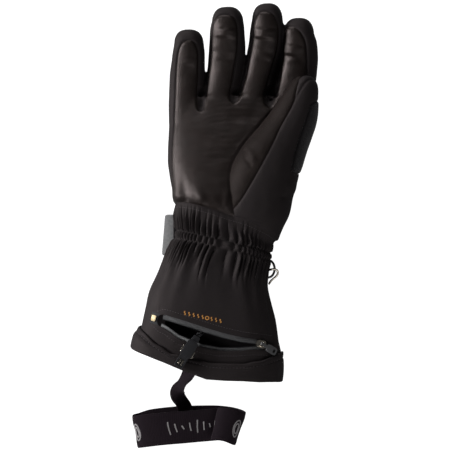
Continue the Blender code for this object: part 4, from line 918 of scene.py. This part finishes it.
class GLOVE_OT_hand(bpy.types.Operator):
    """Padded hand and thumb: softshell back, leather front and the wiping panel"""

    bl_idname = "glove.hand"
    bl_label = "Hand"

    def execute(self, context):
        size = sizes()
        bm, layer = hand_skin()
        tree = BVHTree.FromBMesh(bm)
        gore = []
        for p in curve_through([(x * MM, y * MM, 0) for x, y in GORE_SEAM], 12):
            spot = tree.ray_cast(Vector((p.x, p.y, 0.2)), Vector((0, 0, -1)))[0]
            if spot:
                gore.append(spot)
        away = seam_distance(bm, layer, gore)
        part_of = {}
        for face in bm.faces:
            for v in face.verts:
                part_of.setdefault(v, set()).add(face[layer])
        points = places(bm)
        palm_fold, thumb_fold = fold_field(points, "palm"), fold_field(points, "thumb")
        bm.verts.index_update()

        def forks(v):
            """Whether a vertex is at the front, where two fingers part."""
            x, y, z = v.co / MM
            return v.normal.z > 0.1 and 78 < y < 122 and -32 < x < 56 and z > 12

        def amount(v):
            d = away[v]
            parts = part_of[v]
            swell = 0.7 * size.puff * (1 - math.exp(-d / (3.5 * MM))) - 0.3 * size.puff
            groove = size.seam_depth * math.exp(-((d / size.seam_width) ** 2))
            lift = swell - groove
            front = v.normal.z > 0.1
            if front and parts & {SHELL, PALM_FRONT}:
                lift += palm_fold[v.index] * min(d / (1.5 * MM), 1.0)
            if front and parts & {THUMB_SHELL, THUMB_FRONT}:
                lift += thumb_fold[v.index] * min(d / (1.5 * MM), 1.0)
            lift += 0.22 * MM * noise.noise(v.co / (9 * MM))
            if parts & {PALM_FRONT, THUMB_FRONT}:
                wave = noise.noise(Vector((v.co.x / 0.011, v.co.y / 0.0035, v.co.z / 0.011)))
                lift += 0.10 * MM * wave
            if parts & {SHELL, PALM_FRONT} and forks(v):
                near = bump(v.co.y / MM, 100, 16)
                lift -= 1.1 * MM * math.exp(-((d / (1.1 * MM)) ** 2)) * near
                if parts == {SHELL}:
                    lift -= 6.5 * MM * smooth_step(d, 0.2 * MM, 3.0 * MM) * near
            if parts == {WIPE}:
                lift += 0.6 * MM
            return lift

        hollows = [v for v in bm.verts if part_of[v] == {SHELL} and forks(v)]
        push(bm, amount)
        for _ in range(12):
            bmesh.ops.smooth_vert(bm, verts=hollows, factor=0.5, use_axis_x=True,
                                  use_axis_y=True, use_axis_z=True)
        for v in bm.verts:
            v.co.z = max(v.co.z, 0.15 * MM)
        GROUND["hand"] = BVHTree.FromBMesh(bm)
        leather, shell = FINISH["leather"], FINISH["softshell"]
        for number, name, stands_for, finish, slot, thick in (
            (SHELL, "hand_softshell", "hand_shell", shell, "softshell", size.softshell),
            (PALM_FRONT, "palm_front", "palm_leather", leather, "leather", size.leather),
            (THUMB_SHELL, "thumb_softshell", "thumb_shell", shell, "softshell",
             size.softshell),
            (THUMB_FRONT, "thumb_front", "thumb_leather", FINISH["dull_leather"], "leather",
             size.leather),
            (WIPE, "wiping_panel", "thumb_wipe", FINISH["plush"], "plush", size.leather),
        ):
            obj = solid_sheet(to_object(name, panel(bm, number)), thick)
            finished(obj, finish, slot, [stands_for])
        bm.free()
        return {"FINISHED"}


# The cuff

def pleat(u, at):
    """Height of the gathers at a turn u and a row of the cuff, from -1 to 1, and where the
    elastic draws the cloth in."""
    turn = (u * sizes().gathers + 0.45 * noise.noise(Vector((u * 9.0, 0.0, 3.0)))
            + 0.35 * noise.noise(Vector((u * 26.0, 2.0, 7.0)))
            + 0.12 * noise.noise(Vector((u * 30.0, at * 0.8, 7.0)))) * math.tau
    one, two = ELASTIC_ROWS
    number = round(turn / math.tau)
    size = 1.0 + 0.8 * noise.noise(Vector((number * 3.7, 0.3, 5.0)))
    late = 0.9 + 1.6 * noise.noise(Vector((number * 2.9, 0.7, 9.0)))
    early = 5.2 + 2.2 * noise.noise(Vector((number * 4.3, 0.2, 2.0)))
    ridge = 2 * size * abs(math.cos(turn / 2)) - 1
    crossed = 2 * abs(math.sin(turn / 2)) - 1
    broad = math.cos(u * 15 * math.tau + 3.0 * noise.noise(Vector((u * 7.0, 1.0, 11.0))))
    low = smooth_step(at, one - 0.3, one + 0.3)
    under = smooth_step(at, two - 0.3, two + 0.3)
    fan = smooth_step(at, early - 1.0, early + 1.0)
    start = smooth_step(at, late - 0.6, late + 0.9)
    below = ridge * (1 - fan) + 0.8 * broad * fan
    height = ridge * start * (1 - low) + 0.8 * crossed * low * (1 - under) + below * under
    drawn = bump(at, one, 0.2) + bump(at, two, 0.2)
    return height, drawn


def cuff_spot(u, at, inset=0.0, swell=0.0):
    """A point of the cuff's section at a row, in millimetres, with its bent front edges."""
    row = spline_rows(CUFF, min(at, len(CUFF) - 1))
    bent = smooth_step(at, 8.2, 9.0)
    point = section_point(list(row[:6]) + [row[6] * (1 - bent)] + list(row[7:]), u, inset, swell)
    if bent > 0:
        across, up = superellipse(2 * math.pi * u, row[7])
        cells = [np.interp(across, [b[0] for b in BEND], [b[k] for b in BEND])
                 for k in (1, 2, 3)]
        shift = np.interp(at, (9, 10, 12), cells)
        point.y += bent * shift * smooth_step(up, -0.7, 0.2)
    return point


def cuff_point(u, at, inset=0.0, pleats=1.0):
    """A point of the cuff's surface, in metres."""
    row = spline_rows(CUFF, at)
    height, drawn = pleat(u, at) if pleats else (0.0, 0.0)
    swell = pleats * sizes().gather_depth / MM * (row[8] * height - 0.55 * drawn)
    if pleats:
        spot = Vector((math.cos(u * math.tau) * 2.2, math.sin(u * math.tau) * 2.2, at * 0.55))
        swell += 0.8 * smooth_step(at, 4.5, 8.0) * noise.noise(spot)
        swell += 1.2 * bump(at, 7.6, 1.9) * bump(u, 0.475, 0.012)
        swell += 1.0 * bump(at, 7.4, 1.6) * bump(u, 0.045, 0.012)
        swell -= 0.9 * bump(at, 7.2, 1.8) * bump(u, 0.075, 0.014)
    point = cuff_spot(u, at, inset, swell) * MM
    point.z = max(point.z, 0.3 * MM)
    near = 1 - smooth_step(at, 0.25, 1.3)
    if near > 0 and "hand" in GROUND:
        skin, out, _, _ = GROUND["hand"].find_nearest(point)
        point = point.lerp(skin - out * (0.25 + inset) * MM, near)
    return point


def zip_spot(along, across):
    """The spot of the floor under a place of the zip, given in millimetres."""
    c, s = math.cos(ZIP_TURN), math.sin(ZIP_TURN)
    return Vector((ZIP_X + along * c - across * s, ZIP_Y + along * s + across * c, 0.0)) * MM


def lip_at(along):
    """Upper and lower lip at a share of the zip, in millimetres across it."""
    xs = [lip[0] for lip in LIPS]
    return (np.interp(along, xs, [lip[1] for lip in LIPS]) * ZIP_GAPE,
            np.interp(along, xs, [lip[2] for lip in LIPS]) * ZIP_GAPE)


def slot_outline():
    """The outline of the open slot seen from above, in millimetres."""
    upper = [zip_spot(a * ZIP_LENGTH, hi * ZIP_GAPE) / MM for a, hi, lo in LIPS]
    lower = [zip_spot(a * ZIP_LENGTH, lo * ZIP_GAPE) / MM for a, hi, lo in reversed(LIPS)]
    return rounded([(p.x, p.y) for p in upper + lower], 4)


def on_cuff(spot, lift=0.0, cloth="cuff"):
    """The point of the cuff's front over a spot of the floor, raised by lift, and the
    direction out of the cloth: of its plain form, or of the finished cloth."""
    tree = GROUND[cloth]
    hit, out, _, _ = tree.ray_cast(Vector((spot.x, spot.y, 0.2)), Vector((0, 0, -1)))
    if hit is None:
        hit, out, _, _ = tree.find_nearest(Vector((spot.x, spot.y, 0.05)))
    out = out if out.z > 0 else -out
    return hit + out * lift, out


class GLOVE_OT_cuff(bpy.types.Operator):
    """The cuff: gathered wrist, flared softshell, the slot of the battery pocket"""

    bl_idname = "glove.cuff"
    bl_label = "Cuff"

    def execute(self, context):
        last = len(CUFF) - 1
        smooth = tube_grid(96, 60, lambda u, v: cuff_point(u, v * last, 0.0, 0.0))
        GROUND["cuff"] = BVHTree.FromBMesh(smooth)
        smooth.free()
        outer_share = 0.78

        def place(u, v):
            if v <= outer_share:
                return cuff_point(u, v / outer_share * last)
            back = (v - outer_share) / (1 - outer_share)
            thick = CUFF_WALL * smooth_step(min(back, 1 - back), 0.0, 0.06)
            return cuff_point(u, last * (1 - back), thick, 0.25 * (1 - thick / CUFF_WALL))

        bm = tube_grid(540, 150, place, closed_v=True)
        layer = bm.faces.layers.int.new("panel")
        outline = slot_outline()

        def field(points):
            p = np.asarray(points)
            return np.maximum(outline_distance(p, outline), 40 * MM - p[:, 2])

        near = field(places(bm))
        bm.normal_update()
        for v, d in zip(list(bm.verts), near):
            if d < 9 * MM and v.co.z > 40 * MM:
                v.co += Vector((0, 0, 1)) * (0.9 * MM * math.exp(-((d / (3.5 * MM)) ** 2))
                                            - 0.5 * MM * bump(d / MM, 5.0, 0.7))
        cut_off(bm, field, layer)
        rims = [e for e in bm.edges if e.is_boundary]
        bmesh.ops.bridge_loops(bm, edges=rims)
        bmesh.ops.recalc_face_normals(bm, faces=bm.faces)
        GROUND["cloth"] = BVHTree.FromBMesh(bm)
        finished(to_object("cuff_softshell", bm), FINISH["softshell"], "softshell",
                 ["gauntlet"])
        return {"FINISHED"}


class GLOVE_OT_hem(bpy.types.Operator):
    """The folded hem band round the cuff's end, with the groove of its stitches"""

    bl_idname = "glove.hem"
    bl_label = "Hem"

    def execute(self, context):
        last = len(CUFF) - 1
        out, thick = 0.7, 1.7

        def place(u, v):
            turn = v * 4.0
            side = int(min(turn, 3.999))
            t = turn - side
            wave = 0.5 * noise.noise(Vector((math.cos(u * math.tau) * 5,
                                             math.sin(u * math.tau) * 5, 2.0)))
            start = HEM_FROM + 0.10 * wave
            if side == 0:
                at, off = start + (last - start) * t, out + thick + 0.5 * math.sin(math.pi * t)
                off -= 0.8 * bump(at, start + HEM_STITCH, 0.10)
                off += 0.45 * noise.noise(Vector((u * 26.0, at * 1.4, 5.0)))
            elif side == 1:
                at, off = last + 0.12 * math.sin(math.pi * t), out + thick * (1 - t) - 0.2 * t
            elif side == 2:
                at, off = last + (start - last) * t, out - 0.2
            else:
                at, off = start - 0.06 * math.sin(math.pi * t), out - 0.2 + (thick + 0.2) * t
            point = cuff_spot(u, at, -off) - Vector((0, max(at - last, 0.0) * 8.0, 0))
            point.z = max(point.z, 0.2)
            return point * MM

        bm = tube_grid(360, 96, place, closed_v=True)
        finished(to_object("hem_softshell", bm), FINISH["softshell"], "softshell",
                 ["hem_band"])
        return {"FINISHED"}


def hem_line():
    """Points along the front of the hem, each with the direction out of the cloth."""
    line = []
    for i in range(241):
        u = 0.03 + 0.44 * i / 240
        point, above = (cuff_spot(u, HEM_FROM + HEM_STITCH, -off) * MM for off in (2.1, 3.1))
        out = (above - point).normalized()
        line.append((point + out * 0.1 * MM, out))
    return line


class GLOVE_OT_stitches(bpy.types.Operator):
    """Rows of stitches at the hem, the wrist seam, the zip and the wiping panel"""

    bl_idname = "glove.stitches"
    bl_label = "Stitches"

    def execute(self, context):
        size = sizes()
        thread = FINISH["thread"]
        stitches("hem_stitches", hem_line(), size.stitch, 1.0 * MM, 0.22 * MM, thread,
                 "softshell")
        upper, lower = [], []
        for i in range(121):
            along = -0.01 + 1.04 * i / 120
            high, low = lip_at(along)
            upper.append(on_cuff(zip_spot(along * ZIP_LENGTH, high + 4.6), 0.05 * MM, "cloth"))
            lower.append(on_cuff(zip_spot(along * ZIP_LENGTH, low - 4.6), 0.05 * MM, "cloth"))
        for name, row in (("zip_stitches_upper", upper), ("zip_stitches_lower", lower)):
            stitches(name, row, size.stitch * 0.8, 0.9 * MM, 0.2 * MM, thread, "softshell")
        wipe = []
        for p in curve_through([(x * MM, y * MM, 0) for x, y in WIPE_SEAM[:6]], 10):
            spot, out, _, _ = GROUND["hand"].ray_cast(Vector((p.x - 1.2 * MM, p.y, 0.2)),
                                                      Vector((0, 0, -1)))
            if spot:
                wipe.append((spot, out))
        stitches("wipe_stitches", wipe, size.stitch, 1.3 * MM, 0.5 * MM,
                 FINISH["plush"], "plush")
        seam = []
        for i in range(161):
            spot = cuff_point(0.06 + 0.41 * i / 160, 0.8)
            seam.append(on_cuff(spot, 0.05 * MM, "cloth"))
        stitches("wrist_stitches", seam, size.stitch * 0.7, 0.8 * MM, 0.2 * MM, thread,
                 "softshell")
        return {"FINISHED"}


# The pocket and its zip

def copy_of(node_name):
    """A welded copy of a CAD node's mesh."""
    bm = bmesh.new()
    bm.from_mesh(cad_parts[node_name].data)
    bmesh.ops.remove_doubles(bm, verts=bm.verts, dist=0.002 * MM)
    return bm


def refined(node_name, name, finish, slot, width, segments=3, body="glove"):
    """A CAD node with its flat faces restored and its edges rounded."""
    bm = copy_of(node_name)
    bmesh.ops.dissolve_limit(bm, angle_limit=math.radians(1), verts=bm.verts, edges=bm.edges)
    edges = [e for e in bm.edges
             if e.is_manifold and e.calc_face_angle(0.0) > math.radians(30)]
    bmesh.ops.bevel(bm, geom=edges, offset=width, segments=segments, profile=0.5,
                    affect="EDGES", clamp_overlap=True, material=-1)
    bmesh.ops.triangulate(bm, faces=[f for f in bm.faces if len(f.verts) > 4])
    return finished(to_object(name, bm), finish, slot, [node_name], body, sharp=35)


def smoothed(node_name, name, finish, slot, swell=0.0):
    """A CAD node that is round all over, one level smoother."""
    obj = to_object(name, push(copy_of(node_name), lambda v: swell))
    soft = obj.modifiers.new("smooth", "SUBSURF")
    soft.levels = soft.render_levels = 1
    return finished(applied(obj), finish, slot, [node_name], sharp=80)


class GLOVE_OT_pocket(bpy.types.Operator):
    """The battery pocket under the zip"""

    bl_idname = "glove.pocket"
    bl_label = "Pocket"

    def execute(self, context):
        bm = copy_of("pocket_bag")
        bmesh.ops.subdivide_edges(bm, edges=bm.edges, cuts=3, use_grid_fill=True)
        for v in bm.verts:
            wave = noise.noise_vector(v.co / (11 * MM))
            v.co += Vector((wave.x, wave.y, 0.7 * wave.z)) * 0.22 * MM
        finished(to_object("pocket_cloth_bag", bm), FINISH["lining"], "pocket_cloth",
                 ["pocket_bag"])
        return {"FINISHED"}


def painted_shade_past_plug(obj, finish):
    """Painted shade: gives the faces on the thumb side of the plug another, darker finish."""
    obj.data.materials.append(finish)
    for face in obj.data.polygons:
        face.material_index = int(face.center.x > PLUG_SHADE_X * MM)


class GLOVE_OT_zip(bpy.types.Operator):
    """Both halves of the zip with their coils, the garage, the end stop, slider and pull"""

    bl_idname = "glove.zip"
    bl_label = "Zip"

    def execute(self, context):
        for name, way, finish, node_name in (
            ("upper_tape", 1, "tape", "zip_tape_upper"),
            ("lower_tape", -1, "piping", "zip_tape_lower"),
        ):
            frames, teeth, steps = [], [], 96
            for i in range(steps + 1):
                along = 0.045 + 0.94 * i / steps
                high, low = lip_at(along)
                lip = high if way > 0 else low
                reach = min(4.2 if way > 0 else 2.4, (high - low) / 2 - 0.4)
                across = lip - way * (reach - 1.2) / 2
                here, out = on_cuff(zip_spot(along * ZIP_LENGTH, across), -1.5 * MM)
                there, _ = on_cuff(zip_spot(along * ZIP_LENGTH, across - way), -1.5 * MM)
                side = (there - here).normalized()
                frames.append((here, side, out, reach + 1.2))
                teeth.append((here + side * (reach + 1.2) / 2 * MM, side, out))

            def place(u, v, frames=frames, steps=steps):
                point, side, out, wide = frames[int(round(v * steps))]
                a, b = superellipse(2 * math.pi * u, 4.0)
                crown = 0.55 * (1 - a * a)
                return point + (side * a * wide / 2 + out * (b * 0.5 + crown)) * MM

            tape = to_object(name, capped(tube_grid(24, steps, place)))
            finished(tape, FINISH[finish], "zip_tape", [node_name])
            parts = []
            for edge, side, out in teeth:
                bm = bmesh.new()
                bmesh.ops.create_uvsphere(bm, u_segments=6, v_segments=4, radius=1.0)
                run = out.cross(side).normalized()
                turn = Matrix((side * 0.75 * MM, run * 0.34 * MM, out * 0.55 * MM)).transposed()
                for v in bm.verts:
                    v.co = edge + turn @ v.co
                parts.append(bm)
            whole = joined(parts)
            bmesh.ops.recalc_face_normals(whole, faces=whole.faces)
            coil = finished(to_object(name + "_coil", whole),
                            FINISH["rubber" if way > 0 else "grey"], "zip_tape")
            # Past the plug the lower tape and coil get darker finishes: painted shade of the
            # plug and wires.
            if way < 0:
                painted_shade_past_plug(tape, FINISH["tape"])
                painted_shade_past_plug(coil, FINISH["rubber"])
        refined("zip_garage", "garage", FINISH["rubber"], "grey_rubber", 0.3 * MM)
        refined("zip_end_stop", "end_stop", FINISH["brass"], "nickel", 0.2 * MM)
        refined("zip_slider", "slider", FINISH["metal"], "nickel", 0.14 * MM)
        refined("zip_pull", "pull", FINISH["grey"], "grey_rubber", 0.22 * MM, body="zip_pull")
        return {"FINISHED"}


# Routes of the plug's wires, in millimetres: the places that part.py works out for them
WIRES = {
    "left": [(-23.8, -93.4, 65.5), (-23.0, -92.4, 65.1), (-21.4, -92.1, 64.5),
             (-21.2, -91.9, 62.7), (-20.5, -91.7, 60.7), (-20.7, -91.8, 58.6),
             (-20.7, -91.9, 56.9), (-19.6, -90.6, 55.3), (-16.1, -88.3, 53.8),
             (-8.3, -85.7, 52.0), (2.5, -86.8, 50.6), (13.6, -90.5, 49.7)],
    "right": [(-22.1, -94.6, 65.5), (-22.1, -94.3, 65.1), (-20.8, -94.1, 64.5),
              (-20.2, -93.7, 62.7), (-20.6, -93.8, 60.7), (-20.0, -93.8, 58.6),
              (-19.3, -93.4, 56.9), (-18.3, -92.3, 55.3), (-15.3, -90.2, 53.8),
              (-8.2, -87.8, 52.0), (2.1, -88.9, 50.6), (13.0, -92.5, 49.7)],
}
# The plug's middle, in millimetres, and how it is turned about Z and then tilted about Y
PLUG_SPOT = (-30.4, -105.4, 66.708)
PLUG_TURN, PLUG_TILT = math.radians(56.8), math.radians(5)
PLUG_FRAME = (Matrix.Translation(Vector(PLUG_SPOT) * MM)
              @ Matrix.Rotation(PLUG_TURN, 4, "Z") @ Matrix.Rotation(PLUG_TILT, 4, "Y"))


class GLOVE_OT_plug(bpy.types.Operator):
    """The battery plug with its latches, contacts, ridges and two wires"""

    bl_idname = "glove.plug"
    bl_label = "Plug"

    def execute(self, context):
        black, metal = FINISH["black_plastic"], FINISH["metal"]
        body = refined("plug_body", "plug", black, "plug_plastic", 0.35 * MM)
        pieces = {"left": [body], "right": []}
        for side in ("left", "right"):
            for part, width in (("contact_", 0.1), ("latch_", 0.2)):
                pieces[side].append(refined("plug_" + part + side, part + side, metal,
                                            "nickel", width * MM))
        parts = []
        for i in range(4):
            bm = bmesh.new()
            bmesh.ops.create_circle(bm, segments=32, radius=1.0, cap_ends=True)
            bmesh.ops.solidify(bm, geom=bm.faces, thickness=0.7)
            grow = 1.0 - 0.07 * i
            for v in bm.verts:
                a, b = superellipse(math.atan2(v.co.y, v.co.x), 4.0)
                if abs(v.co.z) < 2 and v.co.xy.length < 1e-6:
                    a = b = 0.0
                v.co = PLUG_FRAME @ (Vector((8.6 + 1.25 * i + v.co.z, a * 3.6 * grow,
                                             b * 2.5 * grow)) * MM)
            parts.append(bm)
        whole = joined(parts)
        bmesh.ops.remove_doubles(whole, verts=whole.verts, dist=1e-6)
        bmesh.ops.recalc_face_normals(whole, faces=whole.faces)
        pieces["right"].append(
            finished(to_object("plug_ridges", whole), black, "plug_plastic"))
        for side, points in WIRES.items():
            line = curve_through([Vector(p) * MM for p in points], 6)
            curve = bpy.data.curves.new("wire_" + side, "CURVE")
            curve.dimensions = "3D"
            curve.bevel_depth = 0.75 * MM
            curve.bevel_resolution = 4
            curve.use_fill_caps = True
            spline = curve.splines.new("POLY")
            spline.points.add(len(line) - 1)
            for point, spot in zip(spline.points, reversed(line)):
                point.co = (*spot, 1.0)
            wire = bpy.data.objects.new("wire_" + side, curve)
            context.scene.collection.objects.link(wire)
            curve.materials.append(FINISH["wire"])
            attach(wire, "glove")
            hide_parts("lead_wire_" + side)
            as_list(pieces[side])
        return {"FINISHED"}


# The leash, wrist strap and clip
STRAP_PATH = [
    (-30.0, -110.0, 5.7), (-30.0, -115.8, 5.7), (-30.3, -122.8, 4.1), (-31.2, -129.1, 2.7),
    (-34.1, -136.1, 3.4), (-38.7, -142.2, 5.1), (-42.3, -147.7, 6.1), (-42.5, -153.2, 6.1),
    (-39.6, -158.4, 5.0), (-36.7, -163.7, 4.1), (-35.2, -168.9, 3.6),
]
STRAP_ROLLS = (0, 0, 8, 18, 38, 56, 30, -14, -34, -18, 0)
LOOP = [
    # shares of its length, height and width
    (-0.455, 0.055, -0.21), (-0.36, 0.040, -0.10), (-0.22, 0.040, -0.03),
    (-0.08, 0.040, 0.01), (0.08, 0.040, 0.03), (0.25, 0.045, 0.03), (0.38, 0.060, -0.02),
    (0.460, 0.170, -0.08), (0.490, 0.340, -0.11), (0.497, 0.540, -0.12),
    (0.485, 0.740, -0.10), (0.445, 0.890, -0.03), (0.385, 0.950, 0.05), (0.315, 0.935, 0.08),
    (0.270, 0.860, 0.07), (0.262, 0.770, 0.05), (0.295, 0.705, 0.04), (0.335, 0.650, 0.03),
    (0.320, 0.575, 0.02), (0.250, 0.550, 0.00), (0.12, 0.580, -0.03), (-0.04, 0.610, -0.07),
    (-0.20, 0.610, -0.11), (-0.34, 0.580, -0.16), (-0.440, 0.510, -0.21),
    (-0.487, 0.390, -0.24), (-0.497, 0.250, -0.25), (-0.485, 0.130, -0.23),
]
LOOP_LENGTH, LOOP_HEIGHT, LOOP_WIDTH, LOOP_THICK = 102.0, 24.0, 29.0, 1.6
LOOP_X, LOOP_Y, LOOP_PIVOT, LOOP_TAPER = -32.2, -164.0, -15.8, 0.150


def loop_centres():
    """The line round the middle of the elastic loop, in millimetres."""
    return curve_through(
        [(x * LOOP_LENGTH, rise * LOOP_WIDTH, z * LOOP_HEIGHT) for x, z, rise in LOOP],
        12, closed=True)


def loop_spot(centres, i, low, lift=0.0):
    """A point of the elastic loop, in metres, at a step round it and a share of its width,
    and the direction out of its cloth."""
    count = len(centres)
    here, t = int(i) % count, i - int(i)
    spot = centres[here].lerp(centres[(here + 1) % count], t)
    along = centres[(here + 1) % count] - centres[here - 1]
    out = Vector((along.z, 0, -along.x)).normalized()
    spot = spot + out * lift
    x = spot.x - (spot.x - LOOP_PIVOT) * LOOP_TAPER * low
    x += 0.35 * math.sin(low * 9.0 + i * 0.05)
    y = LOOP_Y + spot.y - low * LOOP_WIDTH
    return Vector((LOOP_X + x, y, max(spot.z, 0.1))) * MM, out


class GLOVE_OT_leash(bpy.types.Operator):
    """The wrist leash: webbing strap and the wide elastic loop"""

    bl_idname = "glove.leash"
    bl_label = "Leash"

    def execute(self, context):
        rolls = [math.radians(r) for r in STRAP_ROLLS]
        bm = strap([Vector(p) * MM for p in STRAP_PATH], 13.5 * MM, 1.4 * MM, rolls, 8)
        for v in bm.verts:
            v.co.z = max(v.co.z, 0.1 * MM)
        finished(to_object("leash_webbing", bm), FINISH["webbing"], "webbing",
                 ["leash_strap"])

        centres = loop_centres()
        count = len(centres)

        def place(u, v):
            a, b = superellipse(2 * math.pi * u, 7.0)
            return loop_spot(centres, round(v * count) % count, (1 - a) / 2,
                             b * LOOP_THICK / 2)[0]

        bm = tube_grid(64, count, place, closed_v=True)
        finished(to_object("leash_elastic", bm), FINISH["elastic"], "webbing",
                 ["leash_loop"])
        return {"FINISHED"}


def marks(name, lines, width, finish, slot):
    """Raised lines of thread or print, each a list of points and directions out."""
    parts = []
    for line in lines:
        frames = []
        for i, (spot, out) in enumerate(line):
            way = (line[min(i + 1, len(line) - 1)][0] - line[max(i - 1, 0)][0]).normalized()
            frames.append((spot, out.cross(way).normalized(), out))
        parts.append(band_loft(frames, width, 0.16 * MM, 2))
    whole = joined(parts)
    bmesh.ops.recalc_face_normals(whole, faces=whole.faces)
    return finished(to_object(name, whole), finish, slot)


class GLOVE_OT_marks(bpy.types.Operator):
    """Plain woven marks on the loop and a small print of rising warmth above the zip"""

    bl_idname = "glove.marks"
    bl_label = "Marks"

    def execute(self, context):
        centres = loop_centres()
        lift = LOOP_THICK / 2 + 0.12
        lines = []

        def line(points):
            return [loop_spot(centres, i, low, lift) for i, low in points]

        for k in range(9):
            start = 262.0 - 5.0 * k
            tall = 0.13 + 0.07 * math.cos(k * math.tau / 4)
            lines.append(line([(start - 2.0 * (t / 6 - 0.5), 0.50 + 2 * tall * (t / 6 - 0.5))
                               for t in range(7)]))
        for middle in (128.0, 296.0):
            for size in (1.0, 0.6):
                lines.append(line([
                    (middle + 6.0 * size * math.cos(a * math.tau / 24),
                     0.52 + 0.25 * size * math.sin(a * math.tau / 24)) for a in range(25)]))
        marks("woven_marks", lines, 1.15 * MM, FINISH["woven_mark"], "webbing")
        lines = []
        for k in range(9):
            at = 22.0 + 3.9 * k
            if k == 5:
                lines.append([on_cuff(zip_spot(at + 1.5 * math.cos(a * math.tau / 16),
                                               11.2 + 1.4 * math.sin(a * math.tau / 16)),
                                      0.08 * MM, "cloth") for a in range(17)])
                continue
            lines.append([on_cuff(zip_spot(at + 0.7 * math.sin(t / 10 * math.tau),
                                           9.7 + 3.0 * t / 10), 0.08 * MM, "cloth")
                          for t in range(11)])
        marks("warmth_print", lines, 0.75 * MM, FINISH["print"], "softshell")
        return {"FINISHED"}


class GLOVE_OT_wrist(bpy.types.Operator):
    """The closing strap under the wrist, its tab, and the clip on the thumb side"""

    bl_idname = "glove.wrist"
    bl_label = "Wrist strap and clip"

    def execute(self, context):
        band = refined("wrist_strap", "closing_strap", FINISH["lining"], "webbing", 0.8 * MM)
        for v in band.data.vertices:
            if v.co.x < -44 * MM:
                v.co.x -= 1.2 * MM
        refined("wrist_tab", "strap_tab", FINISH["tab"], "grey_rubber", 0.7 * MM, segments=4)
        ring = smoothed("clip_ring", "ring", FINISH["gunmetal"], "gunmetal", 0.35 * MM)
        for v in ring.data.vertices:
            v.co.x += 2.5 * MM
        smoothed("clip_hook", "hook", FINISH["metal"], "nickel", 0.4 * MM)
        smoothed("clip_loop", "clip_webbing", FINISH["lining"], "webbing")
        return {"FINISHED"}


# The stage

class GLOVE_OT_stage(bpy.types.Operator):
    """Pale floor, soft studio light and the camera straight above"""

    bl_idname = "glove.stage"
    bl_label = "Stage"

    def execute(self, context):
        bm = bmesh.new()
        bmesh.ops.create_grid(bm, x_segments=1, y_segments=1, size=9.0)
        floor = to_object("floor", bm)
        paper = bpy.data.materials.new("paper")
        paper.use_nodes = True
        shader = paper.node_tree.nodes["Principled BSDF"]
        for label, value in (("Base Color", (0.35, 0.35, 0.35, 1.0)), ("Roughness", 0.9),
                             ("Specular IOR Level", 0.0),
                             ("Emission Color", (1.0, 1.0, 1.0, 1.0))):
            shader.inputs[label].default_value = value
        seen = paper.node_tree.nodes.new("ShaderNodeLightPath")
        paper.node_tree.links.new(seen.outputs["Is Camera Ray"],
                                  shader.inputs["Emission Strength"])
        floor.data.materials.append(paper)
        floor.location.z = -0.4 * MM

        world = context.scene.world or bpy.data.worlds.new("studio")
        context.scene.world = world
        world.use_nodes = True
        world.node_tree.nodes["Background"].inputs["Color"].default_value = (1, 1, 1, 1)
        world.node_tree.nodes["Background"].inputs["Strength"].default_value = 0.07

        for name, spot, size, power in (
            ("key", (-1.35, 0.20, 0.42), 0.40, 26.0),
            ("fill", (0.45, -1.2, 1.0), 1.0, 9.5),
            ("back", (-0.45, 1.35, 0.50), 0.5, 10.0),
        ):
            light = bpy.data.lights.new(name, "AREA")
            light.shape = "DISK"
            light.size = size
            light.energy = power
            lamp = bpy.data.objects.new(name, light)
            lamp.location = spot
            aim = Vector((0.0, 0.0, 0.03)) - Vector(spot)
            lamp.rotation_euler = aim.to_track_quat("-Z", "Y").to_euler()
            context.scene.collection.objects.link(lamp)

        view = bpy.data.cameras.new("camera")
        view.sensor_width = 36.0
        view.lens = 97.27
        view.clip_start = 0.01
        camera = bpy.data.objects.new("camera", view)
        camera.location = (0.0, 0.0, 1.1)
        context.scene.collection.objects.link(camera)
        context.scene.camera = camera
        context.scene.view_settings.view_transform = "Standard"
        context.scene.view_settings.look = "None"
        return {"FINISHED"}


OPERATORS = (
    GLOVE_OT_hand, GLOVE_OT_cuff, GLOVE_OT_hem, GLOVE_OT_stitches, GLOVE_OT_pocket,
    GLOVE_OT_zip, GLOVE_OT_plug, GLOVE_OT_leash, GLOVE_OT_marks, GLOVE_OT_wrist, GLOVE_OT_stage,
)


class GLOVE_PT_panel(bpy.types.Panel):
    """Lists the glove's groups, sizes and colours"""

    bl_idname = "GLOVE_PT_panel"
    bl_label = "Heated Glove"
    bl_space_type = "VIEW_3D"
    bl_region_type = "UI"
    bl_category = "Glove"

    def draw(self, context):
        layout = self.layout
        for operator in OPERATORS:
            layout.operator(operator.bl_idname)
        for group in (context.scene.glove_sizes, context.scene.glove_colours):
            box = layout.box()
            for label in group.__annotations__:
                box.prop(group, label)


GROUPS = (GloveSizes, GloveColours)


def register():
    for each in GROUPS + OPERATORS + (GLOVE_PT_panel,):
        bpy.utils.register_class(each)
    bpy.types.Scene.glove_sizes = bpy.props.PointerProperty(type=GloveSizes)
    bpy.types.Scene.glove_colours = bpy.props.PointerProperty(type=GloveColours)


def unregister():
    del bpy.types.Scene.glove_colours
    del bpy.types.Scene.glove_sizes
    for each in reversed(GROUPS + OPERATORS + (GLOVE_PT_panel,)):
        bpy.utils.unregister_class(each)


def main():
    register()
    make_finishes()
    for operator in OPERATORS:
        group, name = operator.bl_idname.split(".")
        getattr(getattr(bpy.ops, group), name)()


if __name__ == "__main__":
    main()
